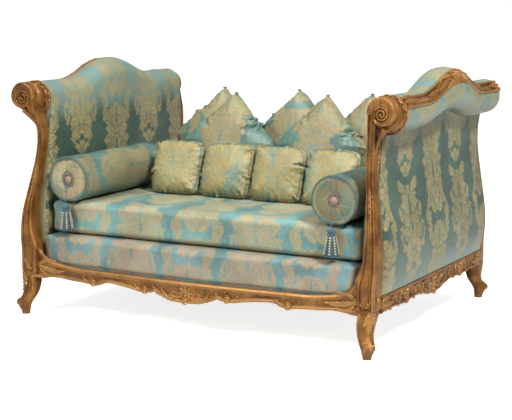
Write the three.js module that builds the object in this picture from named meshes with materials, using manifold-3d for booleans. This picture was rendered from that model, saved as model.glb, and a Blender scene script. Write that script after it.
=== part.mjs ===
import * as THREE from 'three'
import { mergeVertices } from 'three/addons/utils/BufferGeometryUtils.js'
import Module from 'manifold-3d'

// A recamier: a gilt wood daybed with two equal high ends that roll outwards, upholstered in silk damask,
// with a loose mattress, two bolsters and nine cushions.
// Millimetres, +Z up, +X along its length, the front towards -Y, the origin on the floor under the middle.
// The corners are drawn at the front right and mirrored. The back uprights are plain and flush, to stand
// against a wall.

const wasm = await Module()
wasm.setup()

// Driving dimensions: places across are taken from the uprights' inner sides, and heights from the legs' tops
const gap = 0.3                 // between pieces that touch
const overrun = 5               // a cutter passes a face by this
const scrollFace = 617.5        // middle of the depth to the face of a scroll
const blockInner = 800          // middle of the length to an upright's inner side, at the knee
const legHeight = 196

// Leg
const footOut = 53              // the foot's middle, out from the upright's inner side
const footForward = 39          // the foot stands forward of the scroll face
const kneeHalf = 38
const kneeInX = 15              // the knee's middle lies this far in from the foot's
const kneeInY = 41
const toeRadius = 16
const toeWidth = 50
const toeReach = 24
const toeHeight = 54
const dowelRadius = 13
const dowelLength = 26
const footX = blockInner + footOut

// Upright
const blockWidth = 78
const blockForward = 36         // the knee block stands forward of the scroll face
const blockDepth = 76
const bulge = 25                // the inner edge swings out above the knee
const neckSetback = 81          // from the block's front back to the neck's
const eyeOut = 81               // the eye of a scroll, out from the upright's inner side
const eyeHeight = 788           // and over the leg
const voluteRadius = 70
const voluteEntry = 62          // radius where the upright runs into the volute
const voluteDepth = 66
const voluteRelief = 11         // depth of the channel between the volute's turns
const voluteShrink = 0.436      // each turn's radius over the last one's
const voluteTurns = 1.5
const bandShare = 0.3           // the raised band's width over its radius
const eyeRadius = 16
const eyeRise = 9
const collarRadius = 82
const collarStart = 60          // the collar opens out behind the volute from here
const collarWidening = 38
const collarBand = 10
const headRadius = 66           // the round head of a back upright, a little inside the roll's end
const headInset = 8
const eyeX = blockInner + eyeOut
const eyeZ = legHeight + eyeHeight

// Rolled top of an end
const coreIn = 8                // the roll's core lies this far in from the eye
const coreDrop = 9              // and below it
const coreRise = 71             // the camel back lifts the core in the middle
const rollRadius = 78
const rollSwell = 14            // and the roll grows there
const camelHalf = 350           // half the length of the camel back
const camelMiddle = 60          // the hump stands behind the middle of the depth, in the middle of the cloth
const scrollRailRadius = 38
const scrollRailTenon = 24
const crestOver = 10            // the crest stands proud of the roll
const crestUnder = 12
const coreX = eyeX - coreIn
const coreZ = eyeZ - coreDrop

// Long seat rails
const railRise = 35             // their tops, over the legs
const railEndRise = 75          // the top edge sweeps up this far into the upright
const railSweep = 240           // length of that sweep
const railHeight = 52
const railDrop = 42             // the middle cartouche hangs below the lower edge
const railInnerBack = 20        // inner face, back from the scroll face
const railProud = 18            // outer face, forward of the scroll face at the ends
const railBow = 30
const railCove = 7
const railLip = 20              // thickness of the rail's top, in front of the box spring
const railRebate = 4            // the box spring rests this far below the rail's top
const railTop = legHeight + railRise
const railEndTop = railTop + railEndRise
const railBottom = railTop - railHeight

// Side rails
const sideRailIn = 22           // inner face, out from the upright's inner side
const sideRailThickness = 62
const sideRailRise = 54         // their tops, over the legs
const sideRailHeight = 72
const sideRailDrop = 26
const sideRailInner = blockInner + sideRailIn
const sideRailOuter = sideRailInner + sideRailThickness
const sideRailTop = legHeight + sideRailRise
const sideRailBottom = sideRailTop - sideRailHeight

// Joints of the frame: tenons in the uprights, and a bolt through each into the long rail
const tenonWidth = 12
const tenonHeight = 40
const tenonLength = 26
const railTenonHeight = 76      // the tenon's middle, over the leg
const sideTenonHeight = 26
const sideTenonIn = 32          // the tenon's middle, out from the side rail's inner face
const boltHeight = 42
const boltRadius = 4
const boltReach = 62            // how far the bolt enters the rail
const boltHeadRadius = 11
const boltHeadHeight = 7
const railTenonZ = legHeight + railTenonHeight
const sideTenonX = sideRailInner + sideTenonIn
const sideTenonZ = legHeight + sideTenonHeight
const boltZ = legHeight + boltHeight

// Seat support
const ledgerDrop = 25           // the ledger's top, below the rail's
const ledgerHeight = 20
const ledgerWidth = 28
const ledgerClear = 10          // from a ledger's end to the upright
const slatCount = 6
const slatWidth = 90
const slatThickness = 12
const slatInset = 140           // an outer slat's middle, in from the ledger's end
const ledgerTop = railTop - ledgerDrop
const ledgerHalf = blockInner - ledgerClear
const slatSpan = 2 * (ledgerHalf - slatInset)

// Upholstery of the ends
const padProud = 16             // an inner pad stands in from the upright's inner side
const boardInset = 10           // the lining board, out from the side rail's inner face
const boardThickness = 8
const outerPadProud = 19        // the outer pad stands out from the upright's outer side
const padClear = 3              // between a pad's front edge and the upright
const padFace = blockInner - padProud
const boardInner = sideRailInner + boardInset

// Loose upholstery
const springClear = 5           // from the box spring to an inner pad
const springHeight = 138        // its top, over the rail's
const mattressClear = 9
const mattressThickness = 153
const mattressBack = 56         // front face, back from the scroll face
const edgeRound = 26
const springHalf = padFace - springClear
const springTop = railTop + springHeight
const mattressHalf = padFace - mattressClear
const mattressTop = springTop + mattressThickness

// Bolsters
const bolsterRadius = 105
const bolsterLength = 650
const bolsterBack = 43          // front end, back from the scroll face
const bolsterClear = 18         // from a bolster to the inner pad
const bolsterSink = 5           // its underside is pressed flat by this
const bolsterDish = 7
const pipingRadius = 5
const buttonRadius = 25
const buttonHeight = 12
const bolsterX = padFace - bolsterClear - bolsterRadius
const bolsterZ = mattressTop + bolsterRadius - bolsterSink

// Tassels
const tasselCordRadius = 2.5
const tasselForward = 23        // a tassel hangs this far in front of the bolster
const tasselDrop = 110          // its top, below the bolster's axis
const tasselHeadRadius = 13
const tasselSkirtRadius = 33
const tasselLength = 122
const tasselBack = bolsterBack - tasselForward
const tasselTop = bolsterZ - tasselDrop

// Cushions, leaning back alike
const lean = THREE.MathUtils.degToRad(20)
const smallSide = 262
const smallThickness = 124
const smallCount = 4
const smallPitch = 266.5
const smallMiddle = 25          // the row's middle, right of the mattress's
const smallY = -95
const largeSide = 370
const largeThickness = 172
const largeFrontCount = 2
const largeFrontPitch = 454
const largeFrontMiddle = 3
const largeFrontY = 118
const largeBackCount = 3
const largeBackPitch = 400
const largeBackMiddle = -15
const largeBackY = 348
const largeStagger = 58         // neighbours stand this far apart in depth, so that their corners pass
const seamThickness = 7
const sideDraw = 0.055          // share by which the sides pull in between the corners

const finish = (color, roughness, metalness) =>
  new THREE.MeshStandardMaterial({ color, roughness, metalness })
const gilt = finish('#be8c46', 0.45, 0.6)
const damask = finish('#7c9d92', 0.6, 0)
const goldSilk = finish('#b9ab7b', 0.55, 0)
const plainWood = finish('#8f6f48', 0.8, 0)
const brass = finish('#a77f3e', 0.4, 0.9)
const buttonSilk = finish('#cdb592', 0.5, 0)
const cordSilk = finish('#5f8f96', 0.6, 0)

const { degToRad, lerp } = THREE.MathUtils

// A place in the front quarter, from its distance behind the scroll face
const frontY = back => back - scrollFace
const range = count => Array.from({ length: count }, (_, i) => i)

// A closed solid through outlines of equal count; place turns each outline's point into a point in space
function loft (outlines, place) {
  const count = outlines[0].length
  const spots = outlines.flatMap((outline, i) => outline.map(point => place(point, i)))
  const faces = []
  for (let i = 0; i + 1 < outlines.length; i++) {
    for (let j = 0; j < count; j++) {
      const a = i * count + j
      const b = i * count + (j + 1) % count
      faces.push([a, b, a + count], [b, b + count, a + count])
    }
  }
  const last = count * (outlines.length - 1)
  for (const [a, b, c] of capFaces(outlines[0])) faces.push([a, c, b])
  const topFaces = capFaces(outlines[outlines.length - 1])
  for (const [a, b, c] of topFaces) faces.push([a + last, b + last, c + last])
  const geometry = new THREE.BufferGeometry().setFromPoints(spots)
  geometry.setIndex(faces.flat())
  return facingOut(geometry)
}

// The triangles that fill an outline, turned the way that the outline runs
function capFaces (outline) {
  const contour = outline.map(([u, v]) => new THREE.Vector2(u, v))
  const turned = THREE.ShapeUtils.isClockWise(contour)
  return THREE.ShapeUtils.triangulateShape(contour, []).map(([a, b, c]) => turned ? [a, c, b] : [a, b, c])
}

// Turns the faces round where they point inwards
function facingOut (geometry) {
  const at = geometry.getAttribute('position')
  const index = geometry.index.array
  const corner = [new THREE.Vector3(), new THREE.Vector3(), new THREE.Vector3()]
  let volume = 0
  for (let i = 0; i < index.length; i += 3) {
    corner.forEach((v, k) => v.fromBufferAttribute(at, index[i + k]))
    volume += corner[0].dot(corner[1].cross(corner[2]))
  }
  if (volume < 0) {
    for (let i = 0; i < index.length; i += 3) [index[i], index[i + 1]] = [index[i + 1], index[i]]
  }
  return geometry
}

// Shared vertices merged, and the empty faces at a lathe's poles dropped
function welded (geometry) {
  const bare = geometry.clone()
  bare.deleteAttribute('normal')
  bare.deleteAttribute('uv')
  const merged = mergeVertices(bare)
  const index = merged.index.array
  const kept = []
  for (let i = 0; i < index.length; i += 3) {
    const [a, b, c] = index.slice(i, i + 3)
    if (a !== b && b !== c && c !== a) kept.push(a, b, c)
  }
  merged.setIndex(kept)
  return merged
}

function toSolid (geometry) {
  const closed = welded(geometry)
  const vertProperties = closed.getAttribute('position').array
  const triVerts = new Uint32Array(closed.index.array)
  return new wasm.Manifold(new wasm.Mesh({ numProp: 3, vertProperties, triVerts }))
}

function toGeometry (solid) {
  const { vertProperties, triVerts } = solid.getMesh()
  const geometry = new THREE.BufferGeometry()
  geometry.setAttribute('position', new THREE.BufferAttribute(vertProperties, 3))
  geometry.setIndex(new THREE.BufferAttribute(triVerts, 1))
  return geometry
}

const joined = geometries => toGeometry(geometries.map(toSolid).reduce((a, b) => a.add(b)))
const cut = (geometry, ...tools) =>
  toGeometry(tools.map(toSolid).reduce((a, b) => a.subtract(b), toSolid(geometry)))

function box (low, high) {
  const size = high.map((v, k) => v - low[k])
  return new THREE.BoxGeometry(...size).translate(...high.map((v, k) => (v + low[k]) / 2))
}

// A round bar from one point to another along X, Y or Z
function bar (radius, from, to, sides = 16) {
  const a = new THREE.Vector3(...from)
  const b = new THREE.Vector3(...to)
  const along = b.clone().sub(a).normalize()
  const turn = new THREE.Quaternion().setFromUnitVectors(new THREE.Vector3(0, 1, 0), along)
  const middle = a.clone().add(b).divideScalar(2)
  return new THREE.CylinderGeometry(radius, radius, a.distanceTo(b), sides)
    .applyQuaternion(turn).translate(middle.x, middle.y, middle.z)
}

function piece (name, geometry, material) {
  const mesh = new THREE.Mesh(geometry, material)
  mesh.name = name
  return mesh
}

// A round-cornered square: power 2 is a circle, and higher powers are squarer
function softSquare (halfX, halfY, power, sides) {
  return range(sides).map(i => {
    const angle = i / sides * 2 * Math.PI
    const [c, s] = [Math.cos(angle), Math.sin(angle)]
    const reach = (Math.abs(c) ** power + Math.abs(s) ** power) ** (-1 / power)
    return [halfX * reach * c, halfY * reach * s]
  })
}

// Reads a column of a table of rows by its first column, in straight steps
function readRow (rows, share, column) {
  const i = Math.max(1, rows.findIndex(row => row[0] >= share))
  const [low, high] = [rows[i - 1], rows[i]]
  const part = THREE.MathUtils.clamp((share - low[0]) / (high[0] - low[0]), 0, 1)
  return lerp(low[column], high[column], part)
}

// Leg: height, inward X, inward Y, half width, squareness
const legShares = [
  [0, 0, 0, 0.49, 2], [0.06, 0, 0, 0.51, 2], [0.11, -0.07, -0.03, 0.6, 2], [0.19, -0.25, -0.08, 0.74, 2],
  [0.3, 0.05, 0.02, 0.84, 2.1], [0.38, 0.6, 0.2, 0.83, 2.2], [0.47, 1.05, 0.38, 0.86, 2.3],
  [0.59, 1.25, 0.56, 0.92, 2.5],
  [0.72, 1.2, 0.71, 0.98, 2.8], [0.87, 0.96, 0.88, 1, 3.4], [1, 1, 1, 1, 5]
]

function legGeometry () {
  const outlines = legShares.map(([, , , half, power]) =>
    softSquare(half * kneeHalf, half * kneeHalf, power, 12))
  const stem = loft(outlines, ([u, v], i) => {
    const [height, inX, inY] = legShares[i]
    const y = frontY(-footForward) + inY * kneeInY + v
    return new THREE.Vector3(footX - inX * kneeInX + u, y, height * legHeight)
  })
  const middle = [footX - kneeInX, frontY(-footForward) + kneeInY]
  const dowel = bar(dowelRadius, [...middle, legHeight - overrun], [...middle, legHeight + dowelLength], 10)
  return joined([stem, toeScroll(), dowel])
}

// The toe curls forward and out, across the corner
function toeScroll () {
  return new THREE.CylinderGeometry(toeRadius, toeRadius, toeWidth, 12)
    .rotateZ(degToRad(-45))
    .translate(footX + toeReach * Math.SQRT1_2, frontY(-footForward) - toeReach * Math.SQRT1_2, toeHeight)
}

// Upright: height from the knee to the eye, inner edge, width, setback of the front, depth
const uprightShares = [
  [0, 0, 1, 0, 1], [0.14, 0, 1, 0, 1], [0.182, 0.36, 0.923, 0.02, 0.99], [0.24, 0.76, 0.795, 0.04, 0.96],
  [0.31, 0.96, 0.692, 0.1, 0.92], [0.386, 1, 0.577, 0.22, 0.87], [0.462, 0.84, 0.5, 0.4, 0.78],
  [0.563, 0.48, 0.45, 0.65, 0.66], [0.665, 0.16, 0.41, 0.87, 0.59], [0.766, 0, 0.41, 1, 0.566],
  [0.83, 0.08, 0.42, 0.97, 0.64], [0.893, 0.44, 0.44, 0.72, 0.85], [0.944, 0.74, 0.45, 0.5, 1.05],
  [1, 0.84, 0.45, 0.46, 1.05]
]
// Its section: two beads on the front corners and a hollow between them, across and back
const channelShares = [
  [0, 1], [0, 0.25], [0.02, 0.07], [0.1, 0], [0.2, 0.03], [0.3, 0.11], [0.7, 0.11], [0.8, 0.03], [0.9, 0],
  [0.98, 0.07], [1, 0.25], [1, 1]
]
const kneeTop = legHeight + gap

// The back uprights keep that shape in X but stand straight at the back: height, then depth; and their section
const rearDepthShares = [[0, 1], [0.14, 1], [0.31, 0.82], [0.462, 0.67], [0.665, 0.566], [1, 0.566]]
const rearSectionShares = [[0, 1], [0, 0.08], [0.06, 0], [0.94, 0], [1, 0.08], [1, 1]]

const uprightZ = share => kneeTop + share * (eyeZ - kneeTop)
const uprightBack = z => {
  const share = (z - kneeTop) / (eyeZ - kneeTop)
  const setback = readRow(uprightShares, share, 3) * neckSetback
  return setback - blockForward + readRow(uprightShares, share, 4) * blockDepth
}
const uprightOuter = z => {
  const share = (z - kneeTop) / (eyeZ - kneeTop)
  const inner = blockInner + readRow(uprightShares, share, 1) * bulge
  return inner + readRow(uprightShares, share, 2) * blockWidth
}

const rearFace = z =>
  readRow(rearDepthShares, (z - kneeTop) / (eyeZ - kneeTop), 1) * blockDepth - blockForward
const rearTop = rearFace(eyeZ)

function uprightStem () {
  return loft(uprightShares.map(() => channelShares), ([across, back], i) => {
    const [height, inner, width, setback, depth] = uprightShares[i]
    const x = blockInner + inner * bulge + across * width * blockWidth
    const y = frontY(setback * neckSetback - blockForward + back * depth * blockDepth)
    return new THREE.Vector3(x, y, uprightZ(height))
  })
}

// The spiral's radius, by the angle run from where the upright enters: it swells to the top, then winds in
function spiralRadius (angle) {
  const quarter = Math.PI / 2
  if (angle < quarter) return lerp(voluteEntry, voluteRadius, angle / quarter)
  return voluteRadius * voluteShrink ** ((angle - quarter) / (2 * Math.PI))
}
const onSpiral = (angle, radius) => [eyeX - radius * Math.cos(angle), eyeZ + radius * Math.sin(angle)]

function voluteBody () {
  const steps = 18
  const sweep = degToRad(330)
  const outline = range(steps + 1).map(i => onSpiral(sweep * i / steps, spiralRadius(sweep * i / steps)))
  return loft([outline, outline], ([x, z], i) =>
    new THREE.Vector3(x, frontY(i ? voluteDepth : voluteRelief), z))
}

// The raised band that winds in to the eye, proud of the volute's body
function voluteBand () {
  const steps = 22
  const sweep = 2 * Math.PI * voluteTurns
  const section = [[0, 0], [1, 0], [1, 1], [0, 1]]
  return loft(range(steps + 1).map(() => section), ([across, back], i) => {
    const share = i / steps
    const radius = spiralRadius(sweep * share) * (1 - bandShare * across)
    const [x, z] = onSpiral(sweep * share, radius)
    const front = -eyeRise * share * share
    return new THREE.Vector3(x, frontY(lerp(front, voluteRelief + gap, back)), z)
  })
}

function eyeBoss () {
  const profile = range(5).map(i => {
    const angle = degToRad(90 * i / 4)
    return new THREE.Vector2(eyeRadius * Math.sin(angle), (voluteRelief + eyeRise) * Math.cos(angle))
  })
  profile.push(new THREE.Vector2(eyeRadius, -overrun), new THREE.Vector2(0, -overrun))
  return new THREE.LatheGeometry(profile.reverse(), 12)
    .rotateX(Math.PI).translate(eyeX, frontY(voluteRelief), eyeZ)
}

// Behind the volute the wood opens out to the roll's size
function voluteCollar () {
  const circle = softSquare(1, 1, 2, 16)
  const rows = [
    [collarStart, voluteEntry - gap, eyeX, eyeZ], [collarStart + collarWidening, collarRadius, coreX, coreZ],
    [collarStart + collarWidening + collarBand, collarRadius, coreX, coreZ]
  ]
  return loft(rows.map(() => circle), ([u, v], i) => {
    const [back, radius, x, z] = rows[i]
    return new THREE.Vector3(x + radius * u, frontY(back), z + radius * v)
  })
}
const collarBack = collarStart + collarWidening + collarBand

// A back upright, plain, with a round head behind the roll's end
function rearUpright () {
  const stem = loft(uprightShares.map(() => rearSectionShares), ([across, back], i) => {
    const [height, inner, width] = uprightShares[i]
    const x = blockInner + inner * bulge + across * width * blockWidth
    const z = uprightZ(height)
    return new THREE.Vector3(x, frontY(lerp(-blockForward, rearFace(z), back)), z)
  })
  const head = bar(headRadius, [coreX - headInset, frontY(-blockForward), coreZ],
    [coreX - headInset, frontY(rearTop), coreZ], 20)
  return joined([stem, head])
}

function uprightGeometry (front) {
  const whole = front ? joined([uprightStem(), voluteBody(), voluteBand(), eyeBoss(), voluteCollar()])
    : rearUpright()
  const middle = [footX - kneeInX, frontY(-footForward) + kneeInY]
  const dowelHole = bar(dowelRadius + gap, [...middle, kneeTop - overrun],
    [...middle, legHeight + dowelLength + gap])
  const boltHole = bar(boltRadius + gap, [blockInner - overrun, frontY(0), boltZ],
    [blockInner + blockWidth + overrun, frontY(0), boltZ], 12)
  return cut(whole, dowelHole, boltHole, railTenon(gap), sideTenon(gap), scrollTenon(front ? collarBack : rearTop, gap))
}

// Tenons, and their mortises when grown by a clearance
function railTenon (grow) {
  return box([blockInner - overrun, frontY(-tenonWidth / 2 - grow), railTenonZ - tenonHeight / 2 - grow],
    [blockInner + tenonLength + grow, frontY(tenonWidth / 2 + grow), railTenonZ + tenonHeight / 2 + grow])
}
const blockBack = blockDepth - blockForward

function sideTenon (grow) {
  return box([sideTenonX - tenonWidth / 2 - grow, frontY(blockBack - tenonLength - grow),
    sideTenonZ - tenonHeight / 2 - grow],
    [sideTenonX + tenonWidth / 2 + grow, frontY(blockBack + overrun), sideTenonZ + tenonHeight / 2 + grow])
}

function scrollTenon (face, grow, side = 1) {
  return bar(dowelRadius + grow, [coreX, side * frontY(face - scrollRailTenon - grow), coreZ],
    [coreX, side * frontY(face + overrun), coreZ])
}

// Long rail: the distance out from the middle of the length, then how far the lower edge hangs
const railHangShares = [
  [0, 1], [0.06, 0.95], [0.1, 0.8], [0.14, 0.62], [0.19, 0.14], [0.24, 0.38], [0.28, 0.42], [0.34, 0.24],
  [0.42, 0.06],
  [0.53, 0], [0.6, 0.42], [0.64, 0.34], [0.7, 0.26], [0.78, 0.2], [0.88, 0.04], [0.94, 0.12], [1, 0.2]
]
const railHalf = blockInner - gap

// How much of the bow there is at a distance from the middle of the length
const bow = x => Math.cos(x / railHalf * Math.PI / 2) ** 2

function railTopAt (x) {
  const share = THREE.MathUtils.clamp((x - railHalf + railSweep) / railSweep, 0, 1)
  return railTop + (railEndTop - railTop) * (0.45 * share ** 1.6 + 0.55 * share ** 7)
}

function railSection (share) {
  const x = share * railHalf
  const top = railTopAt(x)
  const bottom = railBottom - readRow(railHangShares, share, 1) * railDrop
  const face = -railProud - railBow * bow(x)
  const tall = top - bottom
  return [
    [railInnerBack, railTop - railRebate], [railInnerBack, bottom], [face + 1.2 * railCove, bottom],
    [face + 0.2 * railCove, bottom + 0.12 * tall], [face + railCove, bottom + 0.26 * tall],
    [face + 0.6 * railCove, bottom + 0.55 * tall],
    [face + railCove, top - 0.22 * tall], [face, top - 0.12 * tall], [face + 0.7 * railCove, top],
    [face + railLip, top], [face + railLip, railTop - railRebate]
  ]
}

function longRailGeometry () {
  const right = railHangShares.map(([share]) => share)
  const shares = [...right.slice(1).reverse().map(share => -share), ...right]
  const body = loft(shares.map(share => railSection(Math.abs(share))),
    ([back, z], i) => new THREE.Vector3(shares[i] * railHalf, frontY(back), z))
  const tenons = [railTenon(0), railTenon(0).rotateZ(Math.PI).translate(0, 2 * frontY(0), 0)]
  const boltEnd = railHalf - boltReach - gap
  const bolts = [-1, 1].map(side => bar(boltRadius + gap, [side * boltEnd, frontY(0), boltZ],
    [side * (railHalf + overrun), frontY(0), boltZ], 12))
  return cut(joined([body, ...tenons]), ...bolts)
}

// Side rail: the distance along from the middle of the depth, then how far the lower edge hangs
const sideHangShares = [
  [0, 1], [0.1, 0.86], [0.2, 0.4], [0.3, 0.12], [0.42, 0], [0.55, 0.3], [0.68, 0.18],
  [0.82, 0.02], [0.92, 0.08], [1, 0.2]
]
const sideRailHalf = scrollFace - blockBack - gap

function sideRailGeometry () {
  const half = sideHangShares.map(([share]) => share)
  const shares = [...half.slice(1).reverse().map(share => -share), ...half]
  const outlines = shares.map(share => {
    const bottom = sideRailBottom - readRow(sideHangShares, Math.abs(share), 1) * sideRailDrop
    const tall = sideRailTop - bottom
    return [
      [sideRailInner, bottom], [sideRailOuter - railCove, bottom], [sideRailOuter, bottom + 0.14 * tall],
      [sideRailOuter - railCove, bottom + 0.3 * tall], [sideRailOuter - railCove / 2, bottom + 0.6 * tall],
      [sideRailOuter - railCove, sideRailTop - 0.2 * tall], [sideRailOuter, sideRailTop - 0.1 * tall],
      [sideRailOuter - railCove / 2, sideRailTop], [sideRailInner, sideRailTop]
    ]
  })
  const body = loft(outlines, ([x, z], i) => new THREE.Vector3(x, shares[i] * sideRailHalf, z))
  return joined([body, sideTenon(0), sideTenon(0).translate(0, -2 * frontY(blockBack), 0)
    .translate(0, tenonLength - overrun, 0)])
}

// Bolt head, from its seat out
const boltHeadShares = [[0, 0], [1, 0], [1, 0.35], [0.8, 0.75], [0, 1]]

function boltGeometry () {
  const outer = blockInner + blockWidth + gap
  const shank = bar(boltRadius, [railHalf - boltReach, frontY(0), boltZ], [outer + gap, frontY(0), boltZ], 12)
  const profile = boltHeadShares.map(([radius, rise]) =>
    new THREE.Vector2(radius * boltHeadRadius, rise * boltHeadHeight))
  const head = new THREE.LatheGeometry(profile, 12).rotateZ(degToRad(-90))
    .translate(outer, frontY(0), boltZ)
  return joined([shank, head])
}

// Rolled top: how much of the camel back's rise there is at a distance from the middle of the depth
const camel = y => {
  const off = Math.abs(y - camelMiddle) / camelHalf
  return off < 1 ? Math.cos(off * Math.PI / 2) ** 2 : 0
}
const corePoint = (y, angle, radius) => {
  const turn = degToRad(angle)
  return [coreX + radius * Math.cos(turn), coreZ + coreRise * camel(y) + radius * Math.sin(turn)]
}
const rollAt = y => rollRadius + rollSwell * camel(y)
const arc = (y, from, to, steps, radius) =>
  range(steps + 1).map(i => corePoint(y, lerp(from, to, i / steps), radius))
// The same, with its straight sides laid outside the radius
const arcAround = (y, from, to, steps, radius) =>
  arc(y, from, to, steps, radius / Math.cos(degToRad((to - from) / steps / 2)))
const topFront = frontY(collarBack + gap)
const topBack = -frontY(rearTop + gap)
const crestFrom = 18            // angles on the roll, in degrees from level, where the crest lies
const crestTo = 60
const rollUnder = -135          // the roll's stuffing ends here, under its core
const padUnder = 150            // and the inner pad's here, behind its face
const padTurn = 180             // from here the inner pad's face follows the roll

// Where the hump is drawn, as shares of its half length
const humpShares = [-1, -0.72, -0.48, -0.24, 0, 0.24, 0.48, 0.72, 1]

const topStations = [topFront, ...humpShares.map(share => camelMiddle + share * camelHalf), topBack]
const alongTop = (section, stations = topStations) =>
  loft(stations.map(section), ([x, z], i) => new THREE.Vector3(x, stations[i], z))

function scrollRailGeometry () {
  const body = alongTop(y => range(8).map(i => corePoint(y, i / 8 * 360, scrollRailRadius)))
  return joined([body, scrollTenon(collarBack, 0), scrollTenon(rearTop, 0, -1)])
}

function crestGeometry () {
  return alongTop(y => {
    const low = rollAt(y) - crestUnder + gap
    const high = rollAt(y) + crestOver
    return [...arc(y, crestFrom, crestTo, 2, low), corePoint(y, crestTo, high - 0.6 * crestOver),
      corePoint(y, lerp(crestTo, crestFrom, 0.15), high),
      corePoint(y, lerp(crestTo, crestFrom, 0.4), high - railCove / 2),
      corePoint(y, lerp(crestTo, crestFrom, 0.7), high - railCove / 2),
      corePoint(y, lerp(crestTo, crestFrom, 0.88), high),
      corePoint(y, crestFrom, high - 0.6 * crestOver)]
  })
}

// An angle that parts the crest, roll and inner pad from each other by the gap
const apart = radius => THREE.MathUtils.radToDeg(gap / radius)

function rollGeometry () {
  return alongTop(y => {
    const outer = rollAt(y)
    const under = outer - crestUnder
    const boardSide = coreX - boardInner - boardThickness - gap
    const from = THREE.MathUtils.radToDeg(Math.acos(boardSide / outer)) - padTurn
    return [...arc(y, from, crestFrom - apart(under), 7, outer),
      ...arc(y, crestFrom - apart(under), crestTo, 2, under),
      ...arcAround(y, crestTo, rollUnder, 5, scrollRailRadius + gap)]
  })
}

// Upholstered ends: heights between the side rail and the rolled top, then the swell of the face
const padBottom = sideRailTop + gap
const innerFaceShares = [[0, 0], [0.45, 0], [0.76, 0.1], [0.885, 0.4]]
const collarUnder = coreZ - collarRadius - collarBand

// Trims the upholstery of an end to the backs of its uprights and of their collars
function besideUprights (section) {
  const far = blockInner + 2 * blockWidth + collarRadius
  const below = uprightShares.map(([share]) => uprightZ(share)).filter(z => z < collarUnder)
  const beside = (face, top, side) => {
    const rows = [...below.map(z => [z, face(z) + padClear]), [collarUnder, top + gap],
      [coreZ + 2 * collarRadius, top + gap]]
    const outlines = rows.map(([, back]) =>
      [[padFace - overrun, -blockForward], [far, -blockForward], [far, back], [padFace - overrun, back]])
    return loft(outlines, ([x, back], i) => new THREE.Vector3(x, side * frontY(back), rows[i][0]))
  }
  return cut(alongTop(section, [-sideRailHalf, ...topStations]), beside(uprightBack, collarBack, 1),
    beside(rearFace, rearTop, -1))
}

function innerPadGeometry () {
  return besideUprights(y => {
    const outer = rollAt(y)
    const top = coreZ + coreRise * camel(y)
    const face = innerFaceShares.map(([height, swell]) =>
      [lerp(padFace, coreX - outer, swell), lerp(padBottom, top, height)])
    const back = boardInner - gap
    const inner = scrollRailRadius + gap
    const behind = [1, ...innerFaceShares.map(([height]) => height).reverse()]
      .map(height => [back, lerp(padBottom, top, height)])
    return [...face, ...arc(y, padTurn, crestTo + apart(inner), 5, outer),
      ...arcAround(y, crestTo + apart(inner), padUnder, 3, inner), ...behind]
  })
}

const outerPadShares = [0, 0.1, 0.28, 0.46, 0.62, 0.78, 0.92, 1]

function outerPadGeometry () {
  const inner = boardInner + boardThickness + gap
  return besideUprights(y => {
    const top = coreZ + coreRise * camel(y) - rollAt(y) - gap
    const flatTop = coreZ - rollRadius
    const face = outerPadShares.map(height => {
      const z = lerp(padBottom, flatTop, height)
      const swell = outerPadProud * Math.min(1, 0.25 + 6 * height) * (height > 0.96 ? 0.8 : 1)
      return [Math.max(uprightOuter(z) + swell, inner + seamThickness), lerp(padBottom, top, height)]
    })
    const behind = [1, 0.5, 0].map(height => [inner, lerp(padBottom, top, height)])
    return [...face, ...behind]
  })
}

function endBoardGeometry () {
  return besideUprights(y => {
    const top = coreZ + coreRise * camel(y) - scrollRailRadius / 2
    const heights = innerFaceShares.map(([height]) => height)
    return [...heights.map(height => [boardInner, lerp(padBottom, top, height)]), [boardInner, top],
      [boardInner + boardThickness, top],
      ...heights.reverse().map(height => [boardInner + boardThickness, lerp(padBottom, top, height)])]
  })
}

// Height and inset of a soft box's sides, as shares of its height and of the round of its edges
const softSideShares = [[0, -0.6], [0.1, -0.12], [0.24, 0], [0.5, -0.2], [0.76, 0], [0.9, -0.12], [1, -0.6]]

// Where a bowed side has points between its corners, from the middle out
const bowShares = [-0.9, -0.7, -0.45, -0.2, 0, 0.2, 0.45, 0.7, 0.9]

// The corners of a plan in turn: their sides in X and Y, first angle, and the way of the long side after them
const planCorners = [[1, 1, 0, -1], [-1, 1, 90, 0], [-1, -1, 180, 1], [1, -1, 270, 0]]

// A soft box: rounded corners in plan, rounded edges, sides that pull in, and long sides that can bow
function softBox (halfX, halfY, bottom, top, corner, bowed = 0) {
  const plan = inset => {
    const side = bowed ? bowShares.map(share => share * (halfX - corner)) : []
    const shape = []
    for (const [sx, sy, start, along] of planCorners) {
      for (const step of [0, 30, 60, 90]) {
        const angle = degToRad(start + step)
        shape.push([sx * (halfX - corner) + (corner + inset) * Math.cos(angle),
          sy * (halfY - corner) + (corner + inset) * Math.sin(angle)])
      }
      if (along) shape.push(...side.map(x => [along * x, sy * (halfY + inset)]))
    }
    return shape.map(([x, y]) => [x, y + Math.sign(y) * bowed * bow(x)])
  }
  return loft(softSideShares.map(([, inset]) => plan(inset * edgeRound)),
    ([x, y], i) => new THREE.Vector3(x, y, lerp(bottom, top, softSideShares[i][0])))
}

const slatTop = ledgerTop + gap + slatThickness
const springBottom = slatTop + gap
const springHalfY = scrollFace - railInnerBack - gap

function boxSpringGeometry () {
  const lower = box([-springHalf + edgeRound, -springHalfY, springBottom],
    [springHalf - edgeRound, springHalfY, springTop - edgeRound])
  const front = scrollFace + railProud - railLip - gap
  const upper = softBox(springHalf, front, railTop - railRebate + gap, springTop, 2 * edgeRound, railBow)
  return joined([lower, upper])
}

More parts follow.
